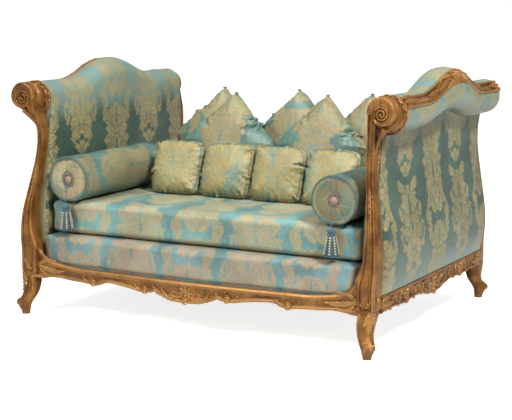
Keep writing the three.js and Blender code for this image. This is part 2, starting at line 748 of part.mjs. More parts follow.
// Bolster: its profile along the axis, from the middle of one end round to the other
function bolsterGeometry () {
  const half = bolsterLength / 2
  const end = [
    [0, half - bolsterDish], [0.3 * bolsterRadius, half - bolsterDish],
    [bolsterRadius - 3 * pipingRadius, half],
    [bolsterRadius - pipingRadius, half + pipingRadius / 2], [bolsterRadius, half - pipingRadius],
    [bolsterRadius - pipingRadius / 2, half - 3 * pipingRadius], [bolsterRadius, half - 8 * pipingRadius]
  ]
  const profile = [...end, ...end.map(([radius, along]) => [radius, -along]).reverse()]
    .map(([radius, along]) => new THREE.Vector2(radius, -along))
  const body = new THREE.LatheGeometry(profile, 20)
    .translate(bolsterX, frontY(bolsterBack) + half, bolsterZ)
  const floor = box([0, frontY(0) - bolsterLength, 0],
    [bolsterX + 2 * bolsterRadius, bolsterLength + scrollFace, mattressTop + gap])
  return cut(body, floor)
}

// A domed button with a ring of gimp round it, on an end of the bolster
const buttonShares = [[0, 0], [1, 0], [1.02, 0.3], [0.86, 0.5], [0.72, 0.42], [0.5, 0.85], [0, 1]]

function buttonGeometry () {
  const profile = buttonShares.map(([radius, rise]) =>
    new THREE.Vector2(radius * buttonRadius, rise * buttonHeight))
  return welded(new THREE.LatheGeometry(profile, 14)).rotateX(Math.PI)
}
const buttonFront = frontY(bolsterBack + bolsterDish - gap)

// The tassel's cord, from the middle of the bolster's end: out from under the button, over the edge and
// straight down to the tassel, as distances forward and down
const tasselCordRoute = [
  [-6.6, 28], [-1.5, 28], [4.5, 29.6], [9.5, 33], [13.1, 37.5], [15.5, 43], [17.1, 50], [18.5, 62],
  [20.1, 74], [21.5, 86], [22.5, 98], [tasselForward, tasselDrop - gap]
].map(([forward, down]) => new THREE.Vector3(bolsterX, frontY(bolsterBack - forward), bolsterZ - down))

function tasselCordGeometry () {
  const section = new THREE.Shape(range(8).map(i => {
    const angle = i / 8 * 2 * Math.PI
    return new THREE.Vector2(tasselCordRadius * Math.cos(angle), tasselCordRadius * Math.sin(angle))
  }))
  const extrudePath = new THREE.CatmullRomCurve3(tasselCordRoute)
  return new THREE.ExtrudeGeometry(section, { steps: 16, bevelEnabled: false, extrudePath })
}

// Tassel: its round head, as shares of the head's radius, then its skirt, as shares of its radius and drop
const tasselHeadShares = [[0, 0], [0.5, 0.1], [1, 1], [0.5, 1.9]]
const tasselSkirtShares = [[0.5, 0.03], [0.72, 0.36], [0.9, 0.64], [1, 0.97], [0.9, 1], [0, 0.97]]

function tasselGeometry () {
  const drop = tasselLength - 2 * tasselHeadRadius
  const profile = [
    ...tasselHeadShares.map(([radius, down]) => [radius * tasselHeadRadius, down * tasselHeadRadius]),
    ...tasselSkirtShares.map(([radius, down]) =>
      [radius * tasselSkirtRadius, 2 * tasselHeadRadius + down * drop])
  ].map(([radius, down]) => new THREE.Vector2(radius, -down))
  return welded(new THREE.LatheGeometry(profile.reverse(), 14)).rotateX(degToRad(90))
    .translate(bolsterX, frontY(tasselBack), tasselTop)
}

// A square cushion lying flat: a crown in the middle, thin seams, and sides drawn in between the corners
const pillowShares = [0.36, 0.72, 1, 0.72, 0.36]

function pillowGeometry (side, thick, turn) {
  const square = softSquare(side / 2, side / 2, 7, 24).map(([u, v]) => {
    const draw = 1 - sideDraw * Math.cos(2 * Math.atan2(v, u)) ** 2
    return [u * draw, v * draw]
  })
  const outlines = pillowShares.map(share => square.map(([u, v]) => [u * share, v * share]))
  const seam = pillowShares.indexOf(1)
  const edge = side / 2
  const crown = ([u, v]) => (Math.max(0, 1 - (u / edge) ** 2) * Math.max(0, 1 - (v / edge) ** 2)) ** 0.6
  return loft(outlines, ([u, v], i) => {
    const rise = seamThickness / 2 + (thick - seamThickness) / 2 * crown([u, v])
    return new THREE.Vector3(u, v, i === seam ? 0 : Math.sign(seam - i) * rise)
  }).rotateZ(turn)
}

// Stands a cushion on the mattress, leaning back, over the given place
function standCushion (mesh, x, y) {
  const at = mesh.geometry.getAttribute('position')
  const rises = range(at.count).map(i => at.getY(i) * Math.cos(lean) + at.getZ(i) * Math.sin(lean))
  mesh.rotation.x = Math.PI / 2 - lean
  mesh.position.set(x, y, mattressTop + gap - Math.min(...rises))
  return mesh
}

// A row of cushions, each second one set back
function cushionRow (name, count, geometry, material, middle, pitch, y, stagger) {
  return range(count).map(i => {
    const mesh = piece(`${name}_${i + 1}`, geometry(), material)
    return standCushion(mesh, middle + (i - (count - 1) / 2) * pitch, y + (i % 2) * stagger)
  })
}

const part = new THREE.Group()
const ends = [['left', -1], ['right', 1]]
const fronts = [['front', 1], ['back', -1]]

for (const [end, sx] of ends) {
  for (const [front, sy] of fronts) {
    const corner = new THREE.Group()
    corner.scale.set(sx, sy, 1)
    corner.add(piece(`leg_${front}_${end}`, legGeometry(), gilt),
      piece(`upright_${front}_${end}`, uprightGeometry(sy > 0), gilt),
      piece(`bed_bolt_${front}_${end}`, boltGeometry(), brass))
    part.add(corner)
  }
  const side = new THREE.Group()
  side.scale.x = sx
  side.add(piece(`side_rail_${end}`, sideRailGeometry(), gilt),
    piece(`scroll_rail_${end}`, scrollRailGeometry(), plainWood),
    piece(`crest_${end}`, crestGeometry(), gilt), piece(`end_board_${end}`, endBoardGeometry(), plainWood),
    piece(`inner_pad_${end}`, innerPadGeometry(), damask),
    piece(`outer_pad_${end}`, outerPadGeometry(), damask),
    piece(`roll_${end}`, rollGeometry(), damask), piece(`bolster_${end}`, bolsterGeometry(), damask),
    piece(`tassel_cord_${end}`, tasselCordGeometry(), cordSilk),
    piece(`tassel_${end}`, tasselGeometry(), goldSilk))
  for (const [front, sy] of fronts) {
    const button = piece(`bolster_button_${front}_${end}`, buttonGeometry(), buttonSilk)
    const middle = frontY(bolsterBack) + bolsterLength / 2
    button.position.set(bolsterX, sy > 0 ? buttonFront : 2 * middle - buttonFront, bolsterZ)
    button.scale.y = sy
    side.add(button)
  }
  part.add(side)
}

for (const [front, sy] of fronts) {
  const long = new THREE.Group()
  long.scale.y = sy
  const ledger = box([-ledgerHalf, frontY(railInnerBack + gap), ledgerTop - ledgerHeight],
    [ledgerHalf, frontY(railInnerBack + gap + ledgerWidth), ledgerTop])
  long.add(piece(`${front}_rail`, longRailGeometry(), gilt), piece(`ledger_${front}`, ledger, plainWood))
  part.add(long)
}

for (const i of range(slatCount)) {
  const x = lerp(-slatSpan / 2, slatSpan / 2, i / (slatCount - 1))
  const slat = box([x - slatWidth / 2, -springHalfY, ledgerTop + gap],
    [x + slatWidth / 2, springHalfY, slatTop])
  part.add(piece(`slat_${i + 1}`, slat, plainWood))
}

const mattress = softBox(mattressHalf, scrollFace - mattressBack, springTop + gap, mattressTop, 2 * edgeRound)
part.add(piece('box_spring', boxSpringGeometry(), damask), piece('mattress', mattress, damask))

const small = () => pillowGeometry(smallSide, smallThickness, 0)
const large = () => pillowGeometry(largeSide, largeThickness, degToRad(45))
part.add(
  ...cushionRow('small_cushion', smallCount, small, goldSilk, smallMiddle, smallPitch, smallY, 0),
  ...cushionRow('large_cushion_front', largeFrontCount, large, damask,
    largeFrontMiddle, largeFrontPitch, largeFrontY, largeStagger),
  ...cushionRow('large_cushion_back', largeBackCount, large, damask,
    largeBackMiddle, largeBackPitch, largeBackY, largeStagger))

export default part
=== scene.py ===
import functools
import math

import bmesh
import bpy
import numpy as np
from mathutils import Matrix, Vector
from mathutils.bvhtree import BVHTree


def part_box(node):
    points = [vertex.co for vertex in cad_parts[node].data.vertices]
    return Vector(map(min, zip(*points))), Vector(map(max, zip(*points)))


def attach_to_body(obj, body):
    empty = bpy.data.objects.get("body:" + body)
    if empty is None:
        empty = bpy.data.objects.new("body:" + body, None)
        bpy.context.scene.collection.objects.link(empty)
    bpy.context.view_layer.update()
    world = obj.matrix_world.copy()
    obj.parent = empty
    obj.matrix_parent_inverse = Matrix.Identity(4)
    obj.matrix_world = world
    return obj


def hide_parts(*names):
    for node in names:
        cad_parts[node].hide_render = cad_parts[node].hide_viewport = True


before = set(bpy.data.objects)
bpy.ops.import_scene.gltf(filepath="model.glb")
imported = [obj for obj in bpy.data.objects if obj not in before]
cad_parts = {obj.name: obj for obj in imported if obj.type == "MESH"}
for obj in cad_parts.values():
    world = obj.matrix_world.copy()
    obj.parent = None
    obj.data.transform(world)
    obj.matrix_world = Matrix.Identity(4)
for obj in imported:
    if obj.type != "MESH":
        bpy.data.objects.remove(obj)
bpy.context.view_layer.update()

# A gilt wood recamier in silk damask, in metres. Corners are drawn at the front right and mirrored from there.
# The back uprights are plain and flush.

GAP = 0.0003
SCROLL_FACE = 0.6175            # middle of the depth to the face of a scroll
BLOCK_INNER = 0.8
EYE_X, EYE_Z = 0.881, 0.984

FOOT_X, FOOT_FORWARD = 0.853, 0.039
LEG_HEIGHT, KNEE_HALF = 0.196, 0.038
KNEE_IN_X, KNEE_IN_Y = 0.015, 0.041
TOE_RADIUS, TOE_WIDTH, TOE_REACH, TOE_HEIGHT = 0.016, 0.05, 0.024, 0.054

BLOCK_WIDE, BLOCK_FORWARD, BLOCK_DEEP = 0.078, 0.036, 0.076
BULGE, NECK_SETBACK = 0.025, 0.081
VOLUTE_RADIUS, VOLUTE_ENTRY, VOLUTE_DEPTH, VOLUTE_RELIEF = 0.07, 0.062, 0.066, 0.011
VOLUTE_SHRINK, SPIRAL_RADIUS = 0.436, 0.029
COLLAR_RADIUS, COLLAR_START, COLLAR_WIDEN, COLLAR_BAND = 0.082, 0.06, 0.038, 0.01
COLLAR_BACK = COLLAR_START + COLLAR_WIDEN + COLLAR_BAND

CORE_X, CORE_Z, CORE_RISE = 0.873, 0.975, 0.071
ROLL_RADIUS, ROLL_SWELL, CAMEL_HALF, CAMEL_MIDDLE = 0.078, 0.014, 0.35, 0.06
HEAD_RADIUS, HEAD_INSET = 0.066, 0.008
SCROLL_RAIL_RADIUS, CREST_OVER, CREST_UNDER = 0.038, 0.01, 0.012
CREST_FROM, CREST_TO = 18, 60   # degrees on the roll, from level

RAIL_TOP, RAIL_END_TOP, RAIL_SWEEP = 0.231, 0.306, 0.24
RAIL_BOTTOM, RAIL_DROP, RAIL_INNER_BACK = 0.179, 0.042, 0.02
RAIL_PROUD, RAIL_BOW, RAIL_COVE, RAIL_LIP, RAIL_REBATE = 0.018, 0.03, 0.007, 0.02, 0.004
SIDE_RAIL_INNER, SIDE_RAIL_OUTER = 0.822, 0.884
SIDE_RAIL_TOP, SIDE_RAIL_BOTTOM, SIDE_RAIL_DROP = 0.25, 0.178, 0.026

PAD_FACE, BOARD_INNER, BOARD_THICK = 0.784, 0.832, 0.008
OUTER_PAD_PROUD, PAD_CLEAR = 0.019, 0.003
SPRING_HALF, SPRING_TOP, MATTRESS_TOP = 0.779, 0.369, 0.522
BOLSTER_X, BOLSTER_Z, BOLSTER_RADIUS = 0.661, 0.622, 0.105
BOLSTER_LENGTH, BOLSTER_BACK, BOLSTER_DISH, PIPING_RADIUS = 0.65, 0.043, 0.007, 0.005
BUTTON_RADIUS, BUTTON_HEIGHT = 0.025, 0.012
TASSEL_CORD_RADIUS, TASSEL_BACK, TASSEL_TOP = 0.0025, 0.02, 0.512
TASSEL_HEAD_RADIUS, TASSEL_SKIRT_RADIUS, TASSEL_LENGTH = 0.013, 0.033, 0.122
LEAN = math.radians(20)
SMALL_SIDE, SMALL_THICK, LARGE_SIDE, LARGE_THICK = 0.262, 0.124, 0.37, 0.172

TURN = 2 * math.pi
ENDS = (("left", -1), ("right", 1))
FRONTS = (("front", 1), ("back", -1))


def front_y(back):
    """A place in the front quarter, from its distance behind the scroll face"""
    return back - SCROLL_FACE


# Camera, lights and floor
CAMERA_PLACE = (3.103, -5.7445, 1.495)
CAMERA_DOWN, CAMERA_LEFT = math.radians(9.08), math.radians(28.46)
SENSOR_WIDTH = 36
FOCAL_PIXELS, PHOTO_WIDTH = 1420.2, 512


def colour(red, green, blue):
    """An sRGB colour of 0 to 255 as the linear values that shaders read"""
    shares = [value / 255 for value in (red, green, blue)]
    return (*[c / 12.92 if c <= 0.04045 else ((c + 0.055) / 1.055) ** 2.4 for c in shares], 1)


def add_camera():
    data = bpy.data.cameras.new("camera")
    data.sensor_width = SENSOR_WIDTH
    data.lens = FOCAL_PIXELS / PHOTO_WIDTH * SENSOR_WIDTH
    camera = bpy.data.objects.new("camera", data)
    camera.location = CAMERA_PLACE
    camera.rotation_euler = (math.pi / 2 - CAMERA_DOWN, 0, CAMERA_LEFT)
    bpy.context.scene.collection.objects.link(camera)
    bpy.context.scene.camera = camera


def add_light(name, place, aim, size, power, tint=(1, 1, 1)):
    data = bpy.data.lights.new(name, "AREA")
    data.size = size
    data.energy = power
    data.color = tint
    light = bpy.data.objects.new(name, data)
    light.location = place
    light.rotation_euler = (Vector(aim) - Vector(place)).to_track_quat("-Z", "Y").to_euler()
    bpy.context.scene.collection.objects.link(light)


def add_studio():
    world = bpy.data.worlds.new("studio")
    bpy.context.scene.world = world
    world.use_nodes = True
    world.node_tree.nodes["Background"].inputs["Color"].default_value = (1, 1, 1, 1)
    world.node_tree.nodes["Background"].inputs["Strength"].default_value = 0.3
    bpy.context.scene.view_settings.view_transform = "Standard"
    add_light("right", (4.4, -2.8, 5.6), (0.4, 0, 0.6), 0.8, 720, (1, 0.98, 0.95))
    add_light("front", (-2.2, -5.4, 4.6), (0, 0, 0.5), 1.5, 260, (1, 0.98, 0.95))
    add_light("top", (0, -0.5, 4.6), (0, -0.1, 0.5), 2.0, 100, (1, 1, 1))
    floor = shape_object("floor", grid_mesh(8, 8), MATERIALS["floor"])
    corners = vertices_of(floor.data)
    set_vertices(floor.data, corners * 150)


# Shader helpers
def put(tree, kind, inputs=None, **settings):
    """Adds a node; inputs are values or sockets to link"""
    made = tree.nodes.new(kind)
    for key, value in settings.items():
        setattr(made, key, value)
    for key, value in (inputs or {}).items():
        if isinstance(value, bpy.types.NodeSocket):
            tree.links.new(value, made.inputs[key])
        else:
            made.inputs[key].default_value = value
    return made


def calc(tree, operation, *values, clamp=False):
    """A Math node's output"""
    return put(tree, "ShaderNodeMath", dict(enumerate(values)), operation=operation, use_clamp=clamp).outputs[0]


def mixed(tree, share, first, second):
    """A colour between two others"""
    made = put(tree, "ShaderNodeMix", {"Factor": share}, data_type="RGBA")
    for socket, value in ((made.inputs[6], first), (made.inputs[7], second)):
        if isinstance(value, bpy.types.NodeSocket):
            tree.links.new(value, socket)
        else:
            socket.default_value = value
    return made.outputs[2]


def ramp(tree, value, low, high, to_low=0.0, to_high=1.0):
    """A value carried smoothly from one range to another"""
    return put(tree, "ShaderNodeMapRange", {"Value": value, "From Min": low, "From Max": high, "To Min": to_low,
        "To Max": to_high}, interpolation_type="SMOOTHSTEP").outputs["Result"]


def noise(tree, vector, scale, detail=3.0, roughness=0.55):
    return put(tree, "ShaderNodeTexNoise", {"Vector": vector, "Scale": scale, "Detail": detail,
        "Roughness": roughness})


def group(name, takes, gives):
    """A new node group with its named inputs and outputs: (tree, input node, output node)"""
    tree = bpy.data.node_groups.new(name, "ShaderNodeTree")
    for title, kind, value in takes:
        socket = tree.interface.new_socket(title, in_out="INPUT", socket_type=kind)
        if value is not None:
            socket.default_value = value
    for title, kind in gives:
        tree.interface.new_socket(title, in_out="OUTPUT", socket_type=kind)
    return tree, tree.nodes.new("NodeGroupInput"), tree.nodes.new("NodeGroupOutput")


FLOAT, VECTOR, COLOUR = "NodeSocketFloat", "NodeSocketVector", "NodeSocketColor"

# Damask: each row is a petal's middle, turn in degrees and half sizes; all are mirrored across the middle line
COLUMN_PITCH, ROW_PITCH = 0.29, 0.45
PALMETTE = (
    (0, 0, 0, 0.068, 0.088), (0, -0.08, 0, 0.034, 0.05), (0.05, -0.045, 24, 0.03, 0.056), (0.068, 0.02, 6, 0.03, 0.05),
    (0.047, 0.078, -24, 0.032, 0.042), (0, 0.098, 0, 0.024, 0.036), (0, -0.15, 0, 0.04, 0.028),
    (0.038, -0.158, -30, 0.02, 0.036), (0.036, 0.172, 0, 0.036, 0.034), (0, 0.203, 0, 0.03, 0.024),
    (0.08, 0.152, -50, 0.02, 0.042), (0.098, 0.192, 20, 0.018, 0.034), (0.02, 0.135, 0, 0.03, 0.032),
    (0.078, -0.126, 40, 0.015, 0.036), (0.102, -0.192, -16, 0.022, 0.034),
)
PALMETTE_VEINS = ((0, 0.002, 0, 0.006, 0.04), (0, 0.165, 0, 0.004, 0.034), (0, -0.085, 0, 0.004, 0.032))
BOUQUET = (
    (0, 0, 0, 0.056, 0.088), (0.05, 0.045, -10, 0.03, 0.044), (0.055, -0.005, 0, 0.03, 0.042),
    (0.047, -0.058, 12, 0.03, 0.044), (0.036, 0.115, -10, 0.04, 0.052), (0, 0.155, 0, 0.022, 0.032),
    (0, -0.112, 0, 0.032, 0.034), (0, -0.176, 0, 0.018, 0.034), (0.025, -0.192, -48, 0.015, 0.03),
    (0.104, -0.02, 0, 0.021, 0.048), (0.04, -0.125, 30, 0.03, 0.042), (0.094, 0.072, -30, 0.015, 0.036),
    (0.062, 0.186, -60, 0.02, 0.042),
)
BOUQUET_VEINS = ((0, 0.112, 0, 0.005, 0.05), (0, -0.144, 0, 0.013, 0.013), (0, 0.02, 0, 0.008, 0.016),
    (0.104, -0.02, 0, 0.006, 0.02))


def petal_depth(tree, place, petal):
    """1 at a petal's middle, 0 at its edge"""
    x, y, turn, wide, tall = petal
    seen = put(tree, "ShaderNodeMapping", {"Vector": place, "Location": (x, y, 0),
        "Rotation": (0, 0, math.radians(turn)), "Scale": (wide, tall, 1)}, vector_type="TEXTURE")
    length = put(tree, "ShaderNodeVectorMath", {0: seen.outputs["Vector"]}, operation="LENGTH")
    return calc(tree, "SUBTRACT", 1.0, length.outputs["Value"])


def figure_group(name, petals, veins):
    """Inside is how deep a point lies in the nearest petal, Seam how much deeper than in the next, Vein its veins"""
    tree, taken, given = group(name, [("Vector", VECTOR, None)],
        [("Inside", FLOAT), ("Seam", FLOAT), ("Vein", FLOAT)])
    place = taken.outputs["Vector"]
    first, second = petal_depth(tree, place, petals[0]), -1.0
    for petal in petals[1:]:
        depth = petal_depth(tree, place, petal)
        second = calc(tree, "MAXIMUM", second, calc(tree, "MINIMUM", first, depth))
        first = calc(tree, "MAXIMUM", first, depth)
    vein = petal_depth(tree, place, veins[0])
    for petal in veins[1:]:
        vein = calc(tree, "MAXIMUM", vein, petal_depth(tree, place, petal))
    tree.links.new(first, given.inputs["Inside"])
    tree.links.new(calc(tree, "SUBTRACT", first, second), given.inputs["Seam"])
    tree.links.new(vein, given.inputs["Vein"])
    return tree


def damask_group():
    """A half-drop damask: Motif is 1 on the figure, Vein on the lines drawn in it, Thread the height of the weave"""
    tree, taken, given = group("damask", [("Vector", VECTOR, None), ("Cover", FLOAT, 0.0)],
        [("Motif", FLOAT), ("Vein", FLOAT), ("Thread", FLOAT)])
    figures = (("palmette", PALMETTE, PALMETTE_VEINS, (0, 0, 0)),
        ("bouquet", BOUQUET, BOUQUET_VEINS, (COLUMN_PITCH, ROW_PITCH / 2, 0)))
    plain = put(tree, "ShaderNodeSeparateXYZ", {0: taken.outputs["Vector"]})
    mirrored = put(tree, "ShaderNodeCombineXYZ", {"X": calc(tree, "PINGPONG", plain.outputs["X"], COLUMN_PITCH),
        "Y": plain.outputs["Y"]}).outputs[0]
    scallop = put(tree, "ShaderNodeTexVoronoi", {"Vector": mirrored, "Scale": 46.0}, feature="F1")
    rough = calc(tree, "MULTIPLY_ADD", scallop.outputs["Distance"], -0.9, 0.38)
    cells = put(tree, "ShaderNodeTexVoronoi", {"Vector": mirrored, "Scale": 46.0}, feature="DISTANCE_TO_EDGE")
    cells = calc(tree, "MULTIPLY", ramp(tree, cells.outputs["Distance"], 0.13, 0.05), 0.62)
    insides, lines = [], []
    for name, petals, veins, shift in figures:
        moved = put(tree, "ShaderNodeVectorMath", {0: taken.outputs["Vector"], 1: shift}, operation="ADD")
        axes = put(tree, "ShaderNodeSeparateXYZ", {0: moved.outputs[0]})
        across = calc(tree, "PINGPONG", axes.outputs["X"], COLUMN_PITCH)
        up = calc(tree, "WRAP", axes.outputs["Y"], ROW_PITCH / 2, -ROW_PITCH / 2)
        spot = put(tree, "ShaderNodeCombineXYZ", {"X": across, "Y": up}).outputs[0]
        figure = put(tree, "ShaderNodeGroup", node_tree=figure_group(name, petals, veins))
        tree.links.new(spot, figure.inputs["Vector"])
        insides.append(calc(tree, "ADD", figure.outputs["Inside"], rough))
        seam = calc(tree, "MULTIPLY", ramp(tree, figure.outputs["Seam"], 0.16, 0.05), 0.8)
        lines.append(calc(tree, "MAXIMUM", seam, ramp(tree, figure.outputs["Vein"], -0.5, -0.2)))
    inside = calc(tree, "ADD", calc(tree, "MAXIMUM", *insides), taken.outputs["Cover"])
    tree.links.new(ramp(tree, inside, -0.03, 0.05), given.inputs["Motif"])
    nearer = calc(tree, "GREATER_THAN", insides[0], insides[1])
    chosen = put(tree, "ShaderNodeMix", {"Factor": nearer})
    tree.links.new(lines[1], chosen.inputs[2])
    tree.links.new(lines[0], chosen.inputs[3])
    contour = ramp(tree, calc(tree, "PINGPONG", calc(tree, "ADD", inside, 0.17), 0.17), 0.04, 0.008)
    contour = calc(tree, "MAXIMUM", cells, calc(tree, "MULTIPLY", contour, 0.5))
    tree.links.new(calc(tree, "MAXIMUM", chosen.outputs[0], contour), given.inputs["Vein"])
    warp = put(tree, "ShaderNodeTexWave", {"Vector": taken.outputs["Vector"], "Scale": 190.0, "Distortion": 1.2,
        "Detail": 1.0}, bands_direction="X")
    weft = put(tree, "ShaderNodeTexWave", {"Vector": taken.outputs["Vector"], "Scale": 120.0, "Distortion": 1.6,
        "Detail": 1.0}, bands_direction="Y")
    tree.links.new(calc(tree, "MAXIMUM", warp.outputs["Fac"], weft.outputs["Fac"]), given.inputs["Thread"])
    return tree


def wear_and_light_group():
    """The first two say where a surface stands out and where it is sunk, for a painted highlight and painted shade;
    Cloud varies slowly over it
    """
    tree, taken, given = group("wear_and_light", [("Vector", VECTOR, None), ("Scale", FLOAT, 14.0)],
        [("EdgeHighlight", FLOAT), ("HollowShade", FLOAT), ("Cloud", FLOAT), ("Speck", FLOAT)])
    point = put(tree, "ShaderNodeNewGeometry").outputs["Pointiness"]
    cloud = noise(tree, taken.outputs["Vector"], taken.outputs["Scale"], 4).outputs["Fac"]
    speck = noise(tree, taken.outputs["Vector"], 260, 2, 0.7).outputs["Fac"]
    shaken = calc(tree, "MULTIPLY_ADD", calc(tree, "SUBTRACT", cloud, 0.5), 0.05, point)
    tree.links.new(ramp(tree, shaken, 0.52, 0.62), given.inputs["EdgeHighlight"])
    tree.links.new(ramp(tree, shaken, 0.495, 0.43), given.inputs["HollowShade"])
    tree.links.new(cloud, given.inputs["Cloud"])
    tree.links.new(speck, given.inputs["Speck"])
    return tree


def new_material(name):
    made = bpy.data.materials.new(name)
    made.use_nodes = True
    return made, made.node_tree, made.node_tree.nodes["Principled BSDF"]


def attach(tree, shader, sockets):
    for key, value in sockets.items():
        if isinstance(value, bpy.types.NodeSocket):
            tree.links.new(value, shader.inputs[key])
        else:
            shader.inputs[key].default_value = value


def group_node(tree, name, inputs):
    made = put(tree, "ShaderNodeGroup", node_tree=GROUPS[name])
    attach(tree, made, inputs)
    return made


def bump(tree, height, distance, strength=1.0):
    return put(tree, "ShaderNodeBump", {"Height": height, "Distance": distance, "Strength": strength}).outputs[0]


def damask_material(name, ground, motif, cover=0.0, turn=0.0, rosy=0.5, pale=None, drawing=0.75):
    """Silk damask with a satin ground; rosy is how far the motif fades to a warmer tone in places, pale the tone of a
    painted satin sheen on the ground, laid by height high up and low down on the ends, and drawing how far the
    lines within the motif show the ground"""
    made, tree, shader = new_material(name)
    place = put(tree, "ShaderNodeUVMap", uv_map="cloth").outputs[0]
    turned = put(tree, "ShaderNodeMapping", {"Vector": place, "Rotation": (0, 0, math.radians(turn))}).outputs[0]
    woven = group_node(tree, "damask", {"Vector": turned, "Cover": cover})
    motif_share = woven.outputs["Motif"]
    drawn = calc(tree, "MULTIPLY", motif_share,
        calc(tree, "SUBTRACT", 1.0, calc(tree, "MULTIPLY", woven.outputs["Vein"], drawing)))
    cloud = noise(tree, place, 5, 3).outputs["Fac"]
    streaked = put(tree, "ShaderNodeMapping", {"Vector": turned, "Scale": (70, 5, 1)}).outputs[0]
    slub = noise(tree, streaked, 4, 2).outputs["Fac"]
    shade = calc(tree, "ADD", calc(tree, "MULTIPLY", cloud, 0.68), calc(tree, "MULTIPLY", slub, 0.32))
    ground_shade = mixed(tree, ramp(tree, shade, 0.36, 0.64), dimmed(ground, 0.7), dimmed(ground, 1.32))
    # A paler ground high up and low down on the ends, by height: a painted satin sheen
    if pale:
        spot = put(tree, "ShaderNodeTexCoord").outputs["Object"]
        height = calc(tree, "ADD", put(tree, "ShaderNodeSeparateXYZ", {0: spot}).outputs["Z"],
            calc(tree, "MULTIPLY", cloud, 0.12))
        painted_sheen_share = calc(tree, "MAXIMUM", ramp(tree, height, 0.9, 1.05), ramp(tree, height, 0.4, 0.28, 0, 0.8))
        ground_shade = mixed(tree, painted_sheen_share, ground_shade, pale)
    motif_shade = mixed(tree, ramp(tree, shade, 0.36, 0.64), dimmed(motif, 0.82), dimmed(motif, 1.16))
    rose = (motif[0] * 1.1, motif[1] * 0.88, motif[2] * 0.95, 1)
    faded = calc(tree, "MULTIPLY", ramp(tree, noise(tree, place, 11, 2).outputs["Fac"], 0.46, 0.62), rosy)
    motif_shade = mixed(tree, faded, motif_shade, rose)
    raised = calc(tree, "ADD", calc(tree, "MULTIPLY", drawn, 0.5),
        calc(tree, "MULTIPLY", woven.outputs["Thread"], 0.5))
    attach(tree, shader, {"Base Color": mixed(tree, drawn, ground_shade, motif_shade),
        "Roughness": ramp(tree, drawn, 0, 1, 0.32, 0.5), "Sheen Weight": 0.09, "Sheen Roughness": 0.35,
        "Sheen Tint": colour(196, 226, 228), "Specular IOR Level": 0.42, "Normal": bump(tree, raised, 0.0007, 0.6)})
    return made


def dimmed(shade, share):
    return (*[min(1, value * share) for value in shade[:3]], 1)


def gilt_material():
    made, tree, shader = new_material("gilt")
    place = put(tree, "ShaderNodeTexCoord").outputs["Object"]
    worn_and_lit = group_node(tree, "wear_and_light", {"Vector": place})
    gold = mixed(tree, ramp(tree, worn_and_lit.outputs["Cloud"], 0.35, 0.65), colour(100, 62, 22), colour(136, 92, 40))
    # Long dark streaks down the wood: painted reflections of a darker studio
    drawn = put(tree, "ShaderNodeMapping", {"Vector": place, "Scale": (70, 70, 7)}).outputs[0]
    painted_reflection = noise(tree, drawn, 1, 4).outputs["Fac"]
    gold = mixed(tree, calc(tree, "MULTIPLY", ramp(tree, painted_reflection, 0.5, 0.66), 0.6), gold, colour(78, 42, 16))
    # A paler gold where the surface stands out: a painted highlight
    gold = mixed(tree, calc(tree, "MULTIPLY", worn_and_lit.outputs["EdgeHighlight"], 0.4), gold, colour(180, 138, 80))
    bole = calc(tree, "MULTIPLY", ramp(tree, worn_and_lit.outputs["Speck"], 0.58, 0.7), 0.5)
    gold = mixed(tree, bole, gold, colour(86, 46, 20))
    # Near-black brown where the surface is sunk: painted shade in the hollows
    gold = mixed(tree, calc(tree, "MULTIPLY", worn_and_lit.outputs["HollowShade"], 0.9), gold, colour(44, 22, 8))
    rough = ramp(tree, worn_and_lit.outputs["Cloud"], 0.3, 0.7, 0.36, 0.52)
    attach(tree, shader, {"Base Color": gold, "Metallic": 0.55, "Roughness": rough,
        "Normal": bump(tree, worn_and_lit.outputs["Speck"], 0.0006, 0.4)})
    return made


def wood_material():
    made, tree, shader = new_material("plain_wood")
    place = put(tree, "ShaderNodeTexCoord").outputs["Object"]
    drawn = put(tree, "ShaderNodeMapping", {"Vector": place, "Scale": (1.2, 14, 14)}).outputs[0]
    grain = noise(tree, drawn, 7, 5).outputs["Fac"]
    attach(tree, shader, {"Base Color": mixed(tree, ramp(tree, grain, 0.35, 0.65), colour(122, 92, 58),
        colour(160, 128, 86)), "Roughness": 0.75, "Normal": bump(tree, grain, 0.001, 0.3)})
    return made


def brass_material():
    made, tree, shader = new_material("brass")
    place = put(tree, "ShaderNodeTexCoord").outputs["Object"]
    worn_and_lit = group_node(tree, "wear_and_light", {"Vector": place, "Scale": 60.0})
    attach(tree, shader, {"Base Color": mixed(tree, worn_and_lit.outputs["Cloud"], colour(120, 88, 40),
        colour(196, 152, 84)), "Metallic": 0.9, "Roughness": ramp(tree, worn_and_lit.outputs["Cloud"], 0, 1, 0.3, 0.55)})
    return made


def cord_material(name, first, second, lay=260.0):
    """Twisted silk: two strand colours wound round the piece"""
    made, tree, shader = new_material(name)
    place = put(tree, "ShaderNodeUVMap", uv_map="cloth").outputs[0]
    wound = put(tree, "ShaderNodeTexWave", {"Vector": place, "Scale": lay, "Distortion": 0.5},
        bands_direction="DIAGONAL").outputs["Fac"]
    attach(tree, shader, {"Base Color": mixed(tree, wound, first, second), "Roughness": 0.5,
        "Sheen Weight": 0.3, "Normal": bump(tree, wound, 0.0008, 0.6)})
    return made


def floor_material():
    made, tree, shader = new_material("floor")
    place = put(tree, "ShaderNodeTexCoord").outputs["Object"]
    cloud = noise(tree, place, 0.6, 2).outputs["Fac"]
    seen = put(tree, "ShaderNodeLightPath").outputs["Is Camera Ray"]
    attach(tree, shader, {"Base Color": mixed(tree, cloud, (0.8, 0.8, 0.79, 1), (0.83, 0.83, 0.82, 1)),
        "Roughness": 0.85, "Emission Color": (1, 1, 1, 1), "Emission Strength": calc(tree, "MULTIPLY", seen, 0.8)})
    return made


# Mesh helpers
def vertices_of(mesh):
    at = np.empty(len(mesh.vertices) * 3)
    mesh.vertices.foreach_get("co", at)
    return at.reshape(-1, 3)


